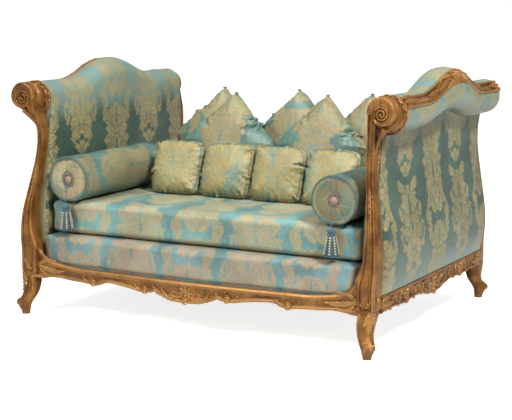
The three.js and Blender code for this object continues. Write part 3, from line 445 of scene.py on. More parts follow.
def set_vertices(mesh, places):
    mesh.vertices.foreach_set("co", np.asarray(places, float).ravel())
    mesh.update()


def shape_object(name, mesh, material):
    mesh.name = name
    made = bpy.data.objects.new(name, mesh)
    mesh.materials.clear()
    mesh.materials.append(material)
    bpy.context.scene.collection.objects.link(made)
    return made


@functools.lru_cache(maxsize=None)
def grid_template(across, along):
    bm = bmesh.new()
    bmesh.ops.create_grid(bm, x_segments=across, y_segments=along, size=1)
    mesh = bpy.data.meshes.new("grid")
    bm.to_mesh(mesh)
    bm.free()
    return mesh


def grid_mesh(across, along):
    return grid_template(across, along).copy()


@functools.lru_cache(maxsize=None)
def tube_template(points, stations):
    """A closed tube: (its mesh, each vertex's place round it, each vertex's station along it)"""
    bm = bmesh.new()
    bmesh.ops.create_cone(bm, cap_ends=True, cap_tris=False, segments=points, radius1=1, radius2=1, depth=1)
    long_edges = [edge for edge in bm.edges if abs(edge.verts[0].co.z - edge.verts[1].co.z) > 0.5]
    if stations > 2:
        bmesh.ops.subdivide_edges(bm, edges=long_edges, cuts=stations - 2)
    mesh = bpy.data.meshes.new("tube")
    bm.to_mesh(mesh)
    bm.free()
    at = vertices_of(mesh)
    place = np.rint(np.arctan2(at[:, 1], at[:, 0]) / TURN * points).astype(int) % points
    station = np.rint((at[:, 2] + 0.5) * (stations - 1)).astype(int)
    return mesh, place, station


def tube_mesh(rings, across=None):
    """A closed solid through rings of places, shaped (stations, points, 3). Its cloth map runs round each ring
    from the first point, and along the stations by across, which is their Y unless given"""
    stations, points = rings.shape[:2]
    template, place, station = tube_template(points, stations)
    mesh = template.copy()
    set_vertices(mesh, rings[station, place])
    steps = np.linalg.norm(np.roll(rings, -1, axis=1) - rings, axis=2)
    run = np.concatenate([np.zeros((stations, 1)), np.cumsum(steps, axis=1)], axis=1)
    across = rings[:, :, 1] if across is None else np.broadcast_to(np.asarray(across, float), (stations, points))
    layer = mesh.uv_layers.new(name="cloth")
    flat = np.zeros((len(mesh.loops), 2))
    for face in mesh.polygons:
        spots = [mesh.loops[i].vertex_index for i in face.loop_indices]
        rounds = [place[v] for v in spots]
        wraps = len(spots) == 4 and max(rounds) - min(rounds) > 1
        for i, v in zip(face.loop_indices, spots):
            end = points if wraps and place[v] == 0 else place[v]
            flat[i] = (across[station[v], place[v]], run[station[v], end])
    layer.data.foreach_set("uv", flat.ravel())
    return mesh


def joined_mesh(name, meshes, merge=0.0):
    """One mesh of several, with its faces turned outwards"""
    bm = bmesh.new()
    for mesh in meshes:
        part = bmesh.new()
        part.from_mesh(mesh)
        bmesh.ops.recalc_face_normals(part, faces=part.faces)
        part.to_mesh(mesh)
        part.free()
        bm.from_mesh(mesh)
        bpy.data.meshes.remove(mesh)
    if merge:
        bmesh.ops.remove_doubles(bm, verts=bm.verts, dist=merge)
    whole = bpy.data.meshes.new(name)
    bm.to_mesh(whole)
    bm.free()
    return whole


def smooth(mesh, angle=45):
    mesh.shade_smooth()
    mesh.set_sharp_from_angle(angle=math.radians(angle))


def add_piece(name, mesh, material, body, replaced=(), sx=1, sy=1, angle=45):
    """Puts a finished mesh in the scene, mirrored to its end and front, on the body that it rides"""
    made = mesh.copy()
    if sx * sy < 0:
        made.transform(Matrix.Diagonal((sx, sy, 1, 1)))
        made.flip_normals()
    else:
        made.transform(Matrix.Diagonal((sx, sy, 1, 1)))
    smooth(made, angle)
    piece = shape_object(name, made, MATERIALS[material])
    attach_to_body(piece, body)
    if replaced:
        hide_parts(*replaced)
    return piece


def through(rows):
    """A smooth curve through the rows of a table, read by its first column"""
    table = np.array(rows, float)
    at, values = table[:, 0], table[:, 1:]
    slopes = np.gradient(values, at, axis=0)

    def read(share):
        share = np.clip(np.asarray(share, float), at[0], at[-1])
        i = np.clip(np.searchsorted(at, share, side="right") - 1, 0, len(at) - 2)
        step = at[i + 1] - at[i]
        t = ((share - at[i]) / step)[..., None]
        step = step[..., None]
        low, high = values[i], values[i + 1]
        made = ((1 + 2 * t) * (1 - t) ** 2 * low + t * t * (3 - 2 * t) * high
            + t * (1 - t) ** 2 * step * slopes[i] + t * t * (t - 1) * step * slopes[i + 1])
        return np.moveaxis(made, -1, 0)
    return read


def soft_square(half, power, points):
    """A round-cornered square's outline: power 2 is a circle, and higher powers are squarer"""
    angle = np.arange(points) / points * TURN
    c, s = np.cos(angle), np.sin(angle)
    reach = (np.abs(c) ** power + np.abs(s) ** power) ** (-1 / power)
    return half * reach * c, half * reach * s


# The shares that the frame's forms follow, by height or distance
LEG_SHARES = (
    (0, 0, 0, 0.49, 2), (0.06, 0, 0, 0.51, 2), (0.11, -0.07, -0.03, 0.6, 2), (0.19, -0.25, -0.08, 0.74, 2),
    (0.3, 0.05, 0.02, 0.84, 2.1), (0.38, 0.6, 0.2, 0.83, 2.2), (0.47, 1.05, 0.38, 0.86, 2.3),
    (0.59, 1.25, 0.56, 0.92, 2.5), (0.72, 1.2, 0.71, 0.98, 2.8), (0.87, 0.96, 0.88, 1, 3.4), (1, 1, 1, 1, 5),
)
UPRIGHT_SHARES = (
    (0, 0, 1, 0, 1), (0.14, 0, 1, 0, 1), (0.182, 0.36, 0.923, 0.02, 0.99), (0.24, 0.76, 0.795, 0.04, 0.96),
    (0.31, 0.96, 0.692, 0.1, 0.92), (0.386, 1, 0.577, 0.22, 0.87), (0.462, 0.84, 0.5, 0.4, 0.78),
    (0.563, 0.48, 0.45, 0.65, 0.66), (0.665, 0.16, 0.41, 0.87, 0.59), (0.766, 0, 0.41, 1, 0.566),
    (0.83, 0.08, 0.42, 0.97, 0.64), (0.893, 0.44, 0.44, 0.72, 0.85), (0.944, 0.74, 0.45, 0.5, 1.05),
    (1, 0.84, 0.45, 0.46, 1.05),
)
# An upright's section, across and back: beads on the front corners, quirks beside them and a hollow between
CHANNEL_SHARES = (
    (0, 1), (0, 0.5), (0, 0.31), (0.03, 0.29), (0.035, 0.26), (0, 0.235), (0, 0.15), (0.012, 0.075), (0.05, 0.018),
    (0.1, 0), (0.15, 0.018), (0.19, 0.06), (0.2, 0.105), (0.225, 0.118), (0.245, 0.1), (0.3, 0.13), (0.4, 0.155),
    (0.5, 0.162), (0.6, 0.155), (0.7, 0.13), (0.755, 0.1), (0.775, 0.118), (0.8, 0.105), (0.81, 0.06), (0.85, 0.018),
    (0.9, 0), (0.95, 0.018), (0.988, 0.075), (1, 0.15), (1, 0.235), (0.965, 0.26), (0.97, 0.29), (1, 0.31),
    (1, 0.5), (1, 1), (0.5, 1),
)
REAR_SECTION = ((0, 1), (0, 0.5), (0, 0.08), (0.02, 0.02), (0.06, 0), (0.3, 0), (0.7, 0), (0.94, 0), (0.98, 0.02),
    (1, 0.08), (1, 0.5), (1, 1), (0.5, 1))
RAIL_HANG_SHARES = (
    (0, 1), (0.06, 0.95), (0.1, 0.8), (0.14, 0.62), (0.19, 0.14), (0.24, 0.38), (0.28, 0.42), (0.34, 0.24),
    (0.42, 0.06), (0.53, 0), (0.6, 0.42), (0.64, 0.34), (0.7, 0.26), (0.78, 0.2), (0.88, 0.04), (0.94, 0.12),
    (1, 0.2),
)
SIDE_HANG_SHARES = (
    (0, 1), (0.1, 0.86), (0.2, 0.4), (0.3, 0.12), (0.42, 0), (0.55, 0.3), (0.68, 0.18), (0.82, 0.02),
    (0.92, 0.08), (1, 0.2),
)
INNER_FACE_SHARES = ((0, 0), (0.45, 0), (0.76, 0.1), (0.885, 0.4))

leg_at = through(LEG_SHARES)
upright_at = through(UPRIGHT_SHARES)
rail_hang = through(RAIL_HANG_SHARES)
side_hang = through(SIDE_HANG_SHARES)
KNEE_TOP = LEG_HEIGHT + GAP
RAIL_HALF = BLOCK_INNER - GAP
SIDE_RAIL_HALF = SCROLL_FACE - (BLOCK_DEEP - BLOCK_FORWARD) - GAP
REAR_DEPTH_SHARES = ((0, 1), (0.14, 1), (0.31, 0.82), (0.462, 0.67), (0.665, 0.566), (1, 0.566))


def upright_share(z):
    return (z - KNEE_TOP) / (EYE_Z - KNEE_TOP)


def upright_back(z):
    """Where an upright's back lies, behind the scroll face"""
    inner, width, setback, depth = upright_at(upright_share(z))
    return setback * NECK_SETBACK - BLOCK_FORWARD + depth * BLOCK_DEEP


def rear_face(z):
    """Where the front of a back upright lies, from the plane of the back scrolls' faces"""
    share, depth = np.array(REAR_DEPTH_SHARES).T
    return np.interp(upright_share(z), share, depth) * BLOCK_DEEP - BLOCK_FORWARD


REAR_TOP = float(rear_face(EYE_Z))
TOP_FRONT, TOP_BACK = front_y(COLLAR_BACK + GAP), SCROLL_FACE - REAR_TOP - GAP


def upright_outer(z):
    inner, width, setback, depth = upright_at(upright_share(z))
    return BLOCK_INNER + inner * BULGE + width * BLOCK_WIDE


def camel(y):
    """How much of the camel back's rise there is at a place in the depth"""
    off = np.abs(np.asarray(y) - CAMEL_MIDDLE) / CAMEL_HALF
    return np.where(off < 1, np.cos(off * np.pi / 2) ** 2, 0)


def core_point(y, angle, radius):
    """X and Z at an angle, in degrees from level, round the core of the roll"""
    turn = np.radians(angle)
    radius = radius + 0 * y
    return CORE_X + radius * np.cos(turn), CORE_Z + CORE_RISE * camel(y) + radius * np.sin(turn)


def roll_at(y):
    return ROLL_RADIUS + ROLL_SWELL * camel(y)


def bow(x):
    return np.cos(x / RAIL_HALF * np.pi / 2) ** 2


def rail_top_at(x):
    share = np.clip((np.abs(x) - RAIL_HALF + RAIL_SWEEP) / RAIL_SWEEP, 0, 1)
    return RAIL_TOP + (RAIL_END_TOP - RAIL_TOP) * (0.45 * share ** 1.6 + 0.55 * share ** 7)


def rail_face(x):
    """The long rail's outer face, behind the scroll face"""
    return -RAIL_PROUD - RAIL_BOW * bow(x)


def rail_bottom_at(x):
    return RAIL_BOTTOM - rail_hang(np.abs(x) / RAIL_HALF)[0] * RAIL_DROP


# Carving
def leaf_mesh(spine, facing, width, rise, lobes=5, bite=0.3, points=14, sunk=0.35):
    """A carved leaf along a spine, with a midrib, side veins and a lobed edge; facing is the outward way"""
    spine = np.asarray(spine, float)
    share = np.linspace(0, 1, len(spine))
    along = np.gradient(spine, axis=0)
    along /= np.linalg.norm(along, axis=1, keepdims=True)
    facing = np.broadcast_to(np.asarray(facing, float), spine.shape)
    side = np.cross(along, facing)
    side /= np.linalg.norm(side, axis=1, keepdims=True)
    up = np.cross(side, along)
    spread = np.sin(np.pi * share ** 0.75) ** 0.7 * (1 - bite * np.abs(np.cos(np.pi * lobes * share)))
    spread = np.maximum(spread, 0.04) * width / 2
    angle = np.arange(points) / points * TURN
    across, height = np.cos(angle), np.sin(angle)
    veins = 0.16 * np.cos(TURN * lobes * share[:, None] - 4 * np.abs(across)[None, :])
    rib = np.exp(-(across / 0.2) ** 2)[None, :] * 0.35
    curl = 0.4 * share[:, None] ** 3
    top = rise * (0.55 * np.abs(height)[None, :] + rib + veins + curl)
    top *= np.minimum(1, 9 * (1 - share[:, None]) + 0.15)
    raised = np.where(height[None, :] >= 0, top, -sunk * rise * np.abs(height)[None, :])
    rings = (spine[:, None, :] + side[:, None, :] * (spread[:, None] * across[None, :])[:, :, None]
        + up[:, None, :] * raised[:, :, None])
    return tube_mesh(rings)


def stroke_mesh(spine, radii, points=10):
    """A round carved stroke along a spine, of the radius given at each of its places"""
    spine = np.asarray(spine, float)
    radii = np.broadcast_to(np.asarray(radii, float), (len(spine),))
    along = np.gradient(spine, axis=0)
    along /= np.linalg.norm(along, axis=1, keepdims=True)
    guide = np.array((0.31, 0.22, 0.92))
    side = np.cross(along, guide)
    side /= np.linalg.norm(side, axis=1, keepdims=True)
    up = np.cross(side, along)
    angle = np.arange(points) / points * TURN
    rings = (spine[:, None, :] + side[:, None, :] * (radii[:, None] * np.cos(angle))[:, :, None]
        + up[:, None, :] * (radii[:, None] * np.sin(angle))[:, :, None])
    return tube_mesh(rings)


def pearls_mesh(places, radius):
    bm = bmesh.new()
    for place in places:
        bmesh.ops.create_icosphere(bm, subdivisions=1, radius=radius, matrix=Matrix.Translation(Vector(place)))
    mesh = bpy.data.meshes.new("pearls")
    bm.to_mesh(mesh)
    bm.free()
    mesh.uv_layers.new(name="cloth")
    return mesh


def arc_on(surface, start, end, bend, count=18):
    """Places on a surface, read at two shares, along a bent line from start to end"""
    t = np.linspace(0, 1, count)
    start, end = np.array(start, float), np.array(end, float)
    line = start + (end - start) * t[:, None]
    off = np.array((-(end - start)[1], (end - start)[0])) * bend
    line = line + off * np.sin(np.pi * t)[:, None]
    return np.array([surface(a, b) for a, b in line])


def scroll_on(surface, middle, radius, turns, start, width, shrink=0.25, count=34):
    """A carved C or S scroll that winds in on a surface"""
    t = np.linspace(0, 1, count)
    angle = np.radians(start) + TURN * turns * t
    reach = radius * (1 - (1 - shrink) * t)
    spine = np.array([surface(middle[0] + r * math.cos(a), middle[1] + r * math.sin(a)) for r, a in zip(reach, angle)])
    return stroke_mesh(spine, width * (1 - 0.45 * t) * np.minimum(1, 8 * (1.02 - t)))


def rail_surface(lift=0.0):
    """Places on the long rail's hollow, by X and height"""
    return lambda x, z: (x, front_y(rail_face(x) + RAIL_COVE - lift), z)


def side_surface(lift=0.0):
    """Places on a side rail's hollow, by Y and height"""
    return lambda y, z: (SIDE_RAIL_OUTER - RAIL_COVE + lift, y, z)


def upright_surface(z, across, lift=0.0):
    """A place on the front of an upright"""
    inner, width, setback, depth = upright_at(upright_share(z))
    hollow = 0.16 * (1 - (2 * across - 1) ** 4) if 0 < across < 1 else 0
    y = front_y(setback * NECK_SETBACK - BLOCK_FORWARD + hollow * depth * BLOCK_DEEP) - lift
    return BLOCK_INNER + inner * BULGE + across * width * BLOCK_WIDE, y, z


def leg_place(height, angle, lift=0.0):
    """A place on a leg's surface, at an angle in degrees from the outer side towards the back"""
    in_x, in_y, half, power = leg_at(height)
    c, s = math.cos(math.radians(angle)), math.sin(math.radians(angle))
    reach = half * KNEE_HALF * (abs(c) ** power + abs(s) ** power) ** (-1 / power) + lift
    return (FOOT_X - in_x * KNEE_IN_X + reach * c, front_y(-FOOT_FORWARD) + in_y * KNEE_IN_Y + reach * s,
        height * LEG_HEIGHT)


def palmette_on(surface, facing, middle, size, blades=7, spread=200, lift=0.0):
    """A fan of leaves from a middle point, opening upwards"""
    meshes = []
    for i in range(blades):
        turn = math.radians(90 + spread * (i / (blades - 1) - 0.5))
        reach = size * (0.72 + 0.28 * math.sin(turn) ** 2)
        tip = (middle[0] + reach * math.cos(turn), middle[1] + reach * math.sin(turn))
        meshes.append(leaf_mesh(arc_on(surface, middle, tip, 0.12 * math.cos(turn)), facing, size * 0.42, size * 0.12,
            lobes=3))
    return meshes


def upright_place(across, z):
    """A place on the front of an upright, at a distance from its middle line"""
    width = float(upright_at(upright_share(z))[1]) * BLOCK_WIDE
    return upright_surface(z, min(max(0.5 + across / width, 0.02), 0.98))


def upright_carving():
    """Small acanthus on the front of an upright, at its waist and over the knee, with pearls on its outer side"""
    meshes = []
    for i, z in enumerate(np.linspace(0.572, 0.648, 7)):
        side = 1 if i % 2 else -1
        for reach, rise in ((0.013, 0.014), (0.006, 0.02)):
            spine = arc_on(upright_place, (-0.002 * side, z), (reach * side, z + rise), 0.3 * side)
            meshes.append(leaf_mesh(spine, (side * 0.4, -1, 0), 0.0105, 0.006, lobes=3, points=10))
    meshes.append(leaf_mesh(arc_on(upright_place, (0, 0.64), (0, 0.685), 0), (0, -1, 0), 0.012, 0.006, lobes=4))
    meshes.append(leaf_mesh(arc_on(upright_place, (0, 0.58), (0, 0.535), 0), (0, -1, 0), 0.012, 0.006, lobes=4))
    for reach, rise, width in ((0.022, 0.045, 0.014), (0.008, 0.03, 0.012), (-0.008, 0.02, 0.012),
            (-0.024, 0.012, 0.012)):
        spine = arc_on(upright_place, (0.25 * reach, 0.205), (reach, 0.21 + rise), -4 * reach)
        meshes.append(leaf_mesh(spine, (reach * 14, -1, 0), width, 0.009, lobes=5))
    places = []
    for z in np.arange(0.31, 0.86, 0.019):
        inner, width = upright_at(upright_share(z))[:2]
        places.append((BLOCK_INNER + inner * BULGE + 0.9 * width * BLOCK_WIDE, front_y(upright_front(z)) - 0.0002, z))
    meshes.append(pearls_mesh(places, 0.003))
    places = []
    for z in (0.4, 0.37, 0.34, 0.315):
        inner = upright_at(upright_share(z))[0]
        places.append((BLOCK_INNER + inner * BULGE + 0.006 - 0.008 * (0.4 - z) / 0.085, z))
    places += [(0.788, 0.293), (0.772, 0.274), (0.75, 0.26), (0.722, 0.251), (0.692, 0.245)]
    bead = catmull(np.array([(x, front_y(0.007 + max(upright_front(z), rail_face(x) if x < 0.79 else -1)), z)
        for x, z in places]), 5)
    share = np.linspace(0, 1, len(bead))
    meshes.append(stroke_mesh(bead, 0.0088 * np.sin(np.pi * (0.04 + 0.9 * share)) ** 0.5, 12))
    z = np.linspace(0.93, 0.79, 18)
    share = (0.93 - z) / 0.14
    spine = [(upright_outer(at) - 0.004 + 0.042 * (1 - t) ** 2.4, front_y(upright_front(at) + 0.024), at)
        for at, t in zip(z, share)]
    meshes.append(stroke_mesh(spine, 0.017 - 0.0135 * share ** 0.7, 12))
    return meshes


def upright_front(z):
    """Where an upright's front lies, behind the scroll face"""
    inner, width, setback, depth = upright_at(upright_share(z))
    return setback * NECK_SETBACK - BLOCK_FORWARD


def knee_carving():
    """Leaves that run from the knee down the leg and back along the side"""
    corner = (1, -1, 0)
    down = [leg_place(h, -45, -0.004) for h in np.linspace(0.99, 0.5, 22)]
    meshes = [leaf_mesh(down, corner, 0.038, 0.009, lobes=6)]
    for angle, facing in ((-82, (0.1, -1, 0)), (-8, (1, -0.1, 0))):
        spine = [leg_place(h, -45 + (angle + 45) * t, -0.003) for t, h in zip(np.linspace(0.2, 1, 18),
            np.linspace(0.98, 0.66, 18))]
        meshes.append(leaf_mesh(spine, facing, 0.034, 0.01, lobes=4))
    sweep = [(x, front_y(rail_face(x) + 0.006), rail_bottom_at(x) + 0.005) for x in (0.68, 0.715, 0.745)]
    sweep += [(0.772, front_y(rail_face(0.76) + 0.008), rail_bottom_at(0.76) + 0.001)]
    sweep += [tuple(leg_place(h, -128, -0.004)) for h in (0.9, 0.8, 0.68, 0.56)]
    sweep = catmull(np.array(sweep, float), 6)
    meshes.append(stroke_mesh(sweep, 0.0078 * np.sin(np.pi * (0.08 + 0.84 * np.linspace(0, 1, len(sweep)))) ** 0.5, 10))
    ridge = [leg_place(h, -45, -0.002) for h in np.linspace(0.5, 0.34, 14)]
    meshes.append(stroke_mesh(ridge, np.linspace(0.006, 0.0025, 14)))
    toe = [leg_place(h, -45, -0.002 + 0.008 * math.sin(t * math.pi)) for t, h in zip(np.linspace(0, 1, 16),
        np.linspace(0.4, 0.22, 16))]
    meshes.append(leaf_mesh(toe, corner, 0.024, 0.006, lobes=3))
    return meshes


def rail_carving():
    """The front rail's middle cartouche, its side sprays, the clasps over its lower bead and the corner leaves"""
    surface, low = rail_surface(), rail_bottom_at
    front = (0, -1, 0)
    meshes = palmette_on(surface, front, (0, 0.166), 0.056)
    meshes += [leaf_mesh(arc_on(surface, (0, 0.172), (0, 0.131), 0), front, 0.05, 0.014, lobes=3),
        dome_mesh(0.013, 0.013, surface(0, 0.168))]
    for side in (-1, 1):
        meshes.append(scroll_on(surface, (0.052 * side, 0.168), 0.02, 1.15 * side, 90 - 90 * side, 0.0052))
        meshes.append(leaf_mesh(arc_on(surface, (0.03 * side, 0.158), (0.12 * side, 0.194), -0.24 * side), front,
            0.026, 0.01, lobes=5))
        meshes.append(leaf_mesh(arc_on(surface, (0.03 * side, 0.15), (0.112 * side, 0.152), 0.16 * side), front,
            0.022, 0.009, lobes=4))
        meshes.append(leaf_mesh(arc_on(surface, (0.09 * side, 0.178), (0.165 * side, 0.205), -0.3 * side), front,
            0.02, 0.008, lobes=4))
        for x, size in ((0.205, 1), (0.487, 1.05)):
            top, foot = 0.198, float(low(x)) - 0.004
            meshes.append(leaf_mesh(arc_on(rail_surface(0.002), (x * side, top), (x * side, foot), 0), front,
                0.046 * size, 0.015, lobes=4))
            for way in (-1, 1):
                meshes.append(leaf_mesh(arc_on(surface, (x * side, top - 0.012), (x * side + 0.056 * way, top + 0.004),
                    -0.35 * way), front, 0.019, 0.008, lobes=4))
                meshes.append(scroll_on(surface, (x * side + 0.02 * way, top + 0.006), 0.009, 0.9 * way, 90, 0.003))
        start = RAIL_HALF - 0.003
        for end, width, bend in (((0.64, 0.214), 0.034, 0.1), ((0.7, 0.252), 0.024, -0.12), ((0.7, 0.186), 0.024, 0.2)):
            meshes.append(leaf_mesh(arc_on(surface, (start * side, 0.228), (end[0] * side, end[1]), bend * side), front,
                width, 0.012, lobes=6))
    return meshes


def side_rail_carving():
    """Clusters of leaves at the middle, at the quarters and beside the uprights"""
    surface, out = side_surface(), (1, 0, 0)
    meshes = palmette_on(surface, out, (0, 0.185), 0.05)
    meshes += [leaf_mesh(arc_on(surface, (0, 0.19), (0, 0.146), 0), out, 0.042, 0.012, lobes=3)]
    for side in (-1, 1):
        meshes.append(leaf_mesh(arc_on(surface, (0.02 * side, 0.185), (0.13 * side, 0.2), -0.2 * side), out, 0.028,
            0.01, lobes=6))
        meshes.append(leaf_mesh(arc_on(surface, (0.02 * side, 0.2), (0.09 * side, 0.226), -0.2 * side), out, 0.02,
            0.009, lobes=4))
        y = 0.318 * side
        meshes.append(leaf_mesh(arc_on(surface, (y, 0.23), (y, 0.166), 0), out, 0.044, 0.014, lobes=4))
        for way in (-1, 1):
            meshes.append(leaf_mesh(arc_on(surface, (y, 0.215), (y + 0.072 * way, 0.212), 0.3 * way), out, 0.024,
                0.01, lobes=5))
            meshes.append(scroll_on(surface, (y + 0.026 * way, 0.226), 0.01, 0.9 * way, 90, 0.003))
        for i in range(12):
            y, way = (0.05 + 0.042 * i) * side, 1 if i % 2 else -1
            spine = arc_on(surface, (y, 0.2 - 0.008 * way), (y + 0.042 * side, 0.2 + 0.014 * way), 0.45 * way * side)
            meshes.append(leaf_mesh(spine, out, 0.017, 0.008, lobes=4, points=10))
        end = (SIDE_RAIL_HALF - 0.002) * side
        for tip, width, bend in (((0.46, 0.212), 0.032, 0.12), ((0.5, 0.236), 0.022, -0.1), ((0.51, 0.186), 0.022, 0.2)):
            meshes.append(leaf_mesh(arc_on(surface, (end, 0.214), (tip[0] * side, tip[1]), bend * side), out, width,
                0.012, lobes=5))
    return meshes


def crest_carving():
    """Flutes and leaves on the crest: a ribbed shell at its peak and leaves beside the collars"""
    def place(y, angle, lift=0.0):
        x, z = core_point(y, angle, roll_at(y) + 0.5 * CREST_OVER + lift)
        return float(x), y, float(z)

    def out(angle):
        return math.cos(math.radians(angle)), 0, math.sin(math.radians(angle))
    meshes = []
    middle = (CREST_FROM + CREST_TO) / 2
    for i in range(13):
        off = (i - 6) / 6
        y = CAMEL_MIDDLE + off * 0.06
        t = np.linspace(0, 1, 14)
        spine = [place(y + 0.018 * off * u, CREST_FROM - 2 + (CREST_TO - CREST_FROM + 3 - 10 * off * off) * u, 0.002)
            for u in t]
        meshes.append(stroke_mesh(spine, 0.0044 * np.sin(np.pi * (0.08 + 0.84 * t)) * (1 - 0.3 * abs(off)), 8))
    for side in (-1, 1):
        for band, width in ((0.3, 0.0052), (0.62, 0.0042)):
            t = np.linspace(0, 1, 40)
            angles = CREST_FROM + (CREST_TO - CREST_FROM) * (band + 0.2 * np.sin(t * TURN))
            spine = [place(CAMEL_MIDDLE + side * (0.075 + 0.25 * u), angle, 0.001) for u, angle in zip(t, angles)]
            meshes.append(stroke_mesh(spine, width * np.sin(np.pi * (0.06 + 0.88 * t)) ** 0.6, 8))
    random = np.random.default_rng(4)
    specks = [place(CAMEL_MIDDLE + across, angle, 0.004) for across, angle in zip(random.uniform(-0.085, 0.085, 90),
        random.uniform(CREST_FROM + 3, CREST_TO - 3, 90))]
    meshes.append(pearls_mesh(specks, 0.0032))
    front_end, back_end = TOP_FRONT + 0.004, TOP_BACK - 0.004
    for side, tip in ((-1, front_end), (1, back_end)):
        for start, end, angles, width in ((0.07, 0.15, (46, 54), 0.02), (0.07, 0.15, (30, 24), 0.02),
                (0.2, 0.28, (36, 46), 0.016), (0.31, 0.24, (44, 36), 0.018)):
            t = np.linspace(0, 1, 20)
            spine = [place(CAMEL_MIDDLE + side * (start + (end - start) * u), angles[0] + (angles[1] - angles[0]) * u)
                for u in t]
            meshes.append(leaf_mesh(spine, out(sum(angles) / 2), width, 0.009, lobes=6))
        for reach, angles, width in ((0.12, (middle, middle), 0.034), (0.08, (50, 58), 0.02), (0.08, (28, 20), 0.02)):
            t = np.linspace(0, 1, 20)
            spine = [place(tip - side * reach * u, angles[0] + (angles[1] - angles[0]) * u) for u in t]
            meshes.append(leaf_mesh(spine, out(sum(angles) / 2), width, 0.009, lobes=6))
    return meshes


def collar_carving():
    """Two wavy ridges round the volute's collar"""
    meshes = []
    turn = np.linspace(0, TURN, 260)
    for radius, back, waves, thick in ((0.0795, COLLAR_BACK - 0.0125, 15, 0.0034), (0.0715, COLLAR_BACK - 0.026, 11, 0.0028)):
        wave = np.sin(turn * waves + 1.3 * np.sin(turn * 2))
        reach = radius + 0.0012 * np.cos(turn * waves)
        spine = np.stack([CORE_X + reach * np.cos(turn), front_y(back + 0.003 * wave), CORE_Z + reach * np.sin(turn)],
            axis=1)
        meshes.append(stroke_mesh(spine, thick * (1 + 0.22 * np.sin(turn * waves * 2)), 8))
    return meshes


# Wood
def upright_rings():
    share = np.linspace(0, 1, 72)
    inner, width, setback, depth = [column[:, None] for column in upright_at(share)]
    across, back = np.array(CHANNEL_SHARES).T
    x = BLOCK_INNER + inner * BULGE + across * width * BLOCK_WIDE
    y = front_y(setback * NECK_SETBACK - BLOCK_FORWARD + back * depth * BLOCK_DEEP)
    z = np.broadcast_to((KNEE_TOP + share * (EYE_Z - KNEE_TOP))[:, None], x.shape)
    return np.stack([x, y, z], axis=2)


def spiral(angle):
    """The volute's radius: it swells from where the upright enters to the top, then winds in"""
    quarter = TURN / 4
    swell = VOLUTE_ENTRY + (VOLUTE_RADIUS - VOLUTE_ENTRY) * angle / quarter
    return np.where(angle < quarter, swell, VOLUTE_RADIUS * VOLUTE_SHRINK ** ((angle - quarter) / TURN))


def volute_rings():
    angle = np.linspace(0, math.radians(330), 64)
    rows = ((VOLUTE_RELIEF, 0.94), (VOLUTE_RELIEF + 0.001, 0.98), (VOLUTE_RELIEF + 0.004, 1), (VOLUTE_DEPTH, 1))
    rings = []
    for back, share in rows:
        reach = spiral(angle) * share
        rings.append(np.stack([EYE_X - reach * np.cos(angle), np.full(angle.shape, front_y(back)),
            EYE_Z + reach * np.sin(angle)], axis=1))
    return np.array(rings)


# The raised band's section: across the band as a share of its width, back as a share of its depth
BAND_SECTION = ((0, 1), (0, 0.3), (0.06, 0.1), (0.22, 0), (0.4, 0.03), (0.52, 0.16), (0.58, 0.26), (0.68, 0.2),
    (0.8, 0.16), (0.92, 0.22), (1, 0.4), (1, 1))


def band_rings():
    """The broad outer roll of a volute, which narrows as it winds in to the tight spiral"""
    share = np.linspace(0, 1, 80)[:, None]
    angle = share * TURN * 1.08
    across, back = np.array(BAND_SECTION).T
    reach = spiral(angle)
    reach = reach - across * (reach - SPIRAL_RADIUS) * (1 - 0.25 * share)
    front = -0.004 * share
    y = front_y(front + back * (VOLUTE_RELIEF + 0.001 - front))
    return np.stack([EYE_X - reach * np.cos(angle), y, EYE_Z + reach * np.sin(angle)], axis=2)


def spiral_meshes():
    """The tight inner spiral of a volute, a round stroke that rises towards its eye"""
    t = np.linspace(0, 1, 90)
    angle = TURN * (0.1 + 1.9 * t)
    reach = SPIRAL_RADIUS * (1 - 0.76 * t)
    spine = np.stack([EYE_X - reach * np.cos(angle), front_y(VOLUTE_RELIEF - 0.003 - 0.009 * t),
        EYE_Z + reach * np.sin(angle)], axis=1)
    return [stroke_mesh(spine, 0.0052 - 0.0022 * t, 12),
        dome_mesh(0.006, 0.019, (EYE_X, front_y(VOLUTE_RELIEF), EYE_Z), 16, 7)]


def collar_rings():
    rows = through(((0, 0.06, 0), (0.12, 0.066, 0.05), (0.3, 0.072, 0.2), (0.5, 0.0735, 0.5), (0.66, 0.071, 0.75),
        (0.75, 0.0715, 0.9), (0.82, 0.077, 1), (0.88, 0.0815, 1), (0.94, 0.081, 1), (1, 0.078, 1)))
    share = np.linspace(0, 1, 36)[:, None]
    radius, shift = rows(share[:, 0])
    angle = np.arange(56)[None, :] / 56 * TURN
    x = EYE_X + (CORE_X - EYE_X) * shift[:, None] + radius[:, None] * np.cos(angle)
    z = EYE_Z + (CORE_Z - EYE_Z) * shift[:, None] + radius[:, None] * np.sin(angle)
    start = COLLAR_START - 0.024
    y = np.broadcast_to(front_y(start + share * (COLLAR_BACK - start)), x.shape)
    return np.stack([x, y, z], axis=2)


def dome_mesh(radius, rise, place, points=24, rings=9):
    """A dome that faces the front"""
    share = np.linspace(0, 1, rings)[:, None]
    angle = np.arange(points)[None, :] / points * TURN
    reach = radius * np.maximum(np.cos(share * np.pi / 2), 0.02)
    x = place[0] + reach * np.cos(angle)
    z = place[2] + reach * np.sin(angle)
    y = np.broadcast_to(place[1] - rise * np.sin(share * np.pi / 2), x.shape)
    return tube_mesh(np.stack([x, y, z], axis=2))


def leg_rings():
    share = np.linspace(0, 1, 44)
    in_x, in_y, half, power = leg_at(share)
    rings = []
    for i, height in enumerate(share):
        u, v = soft_square(half[i] * KNEE_HALF, power[i], 40)
        rings.append(np.stack([FOOT_X - in_x[i] * KNEE_IN_X + u, front_y(-FOOT_FORWARD) + in_y[i] * KNEE_IN_Y + v,
            np.full(u.shape, height * LEG_HEIGHT)], axis=1))
    return np.array(rings)


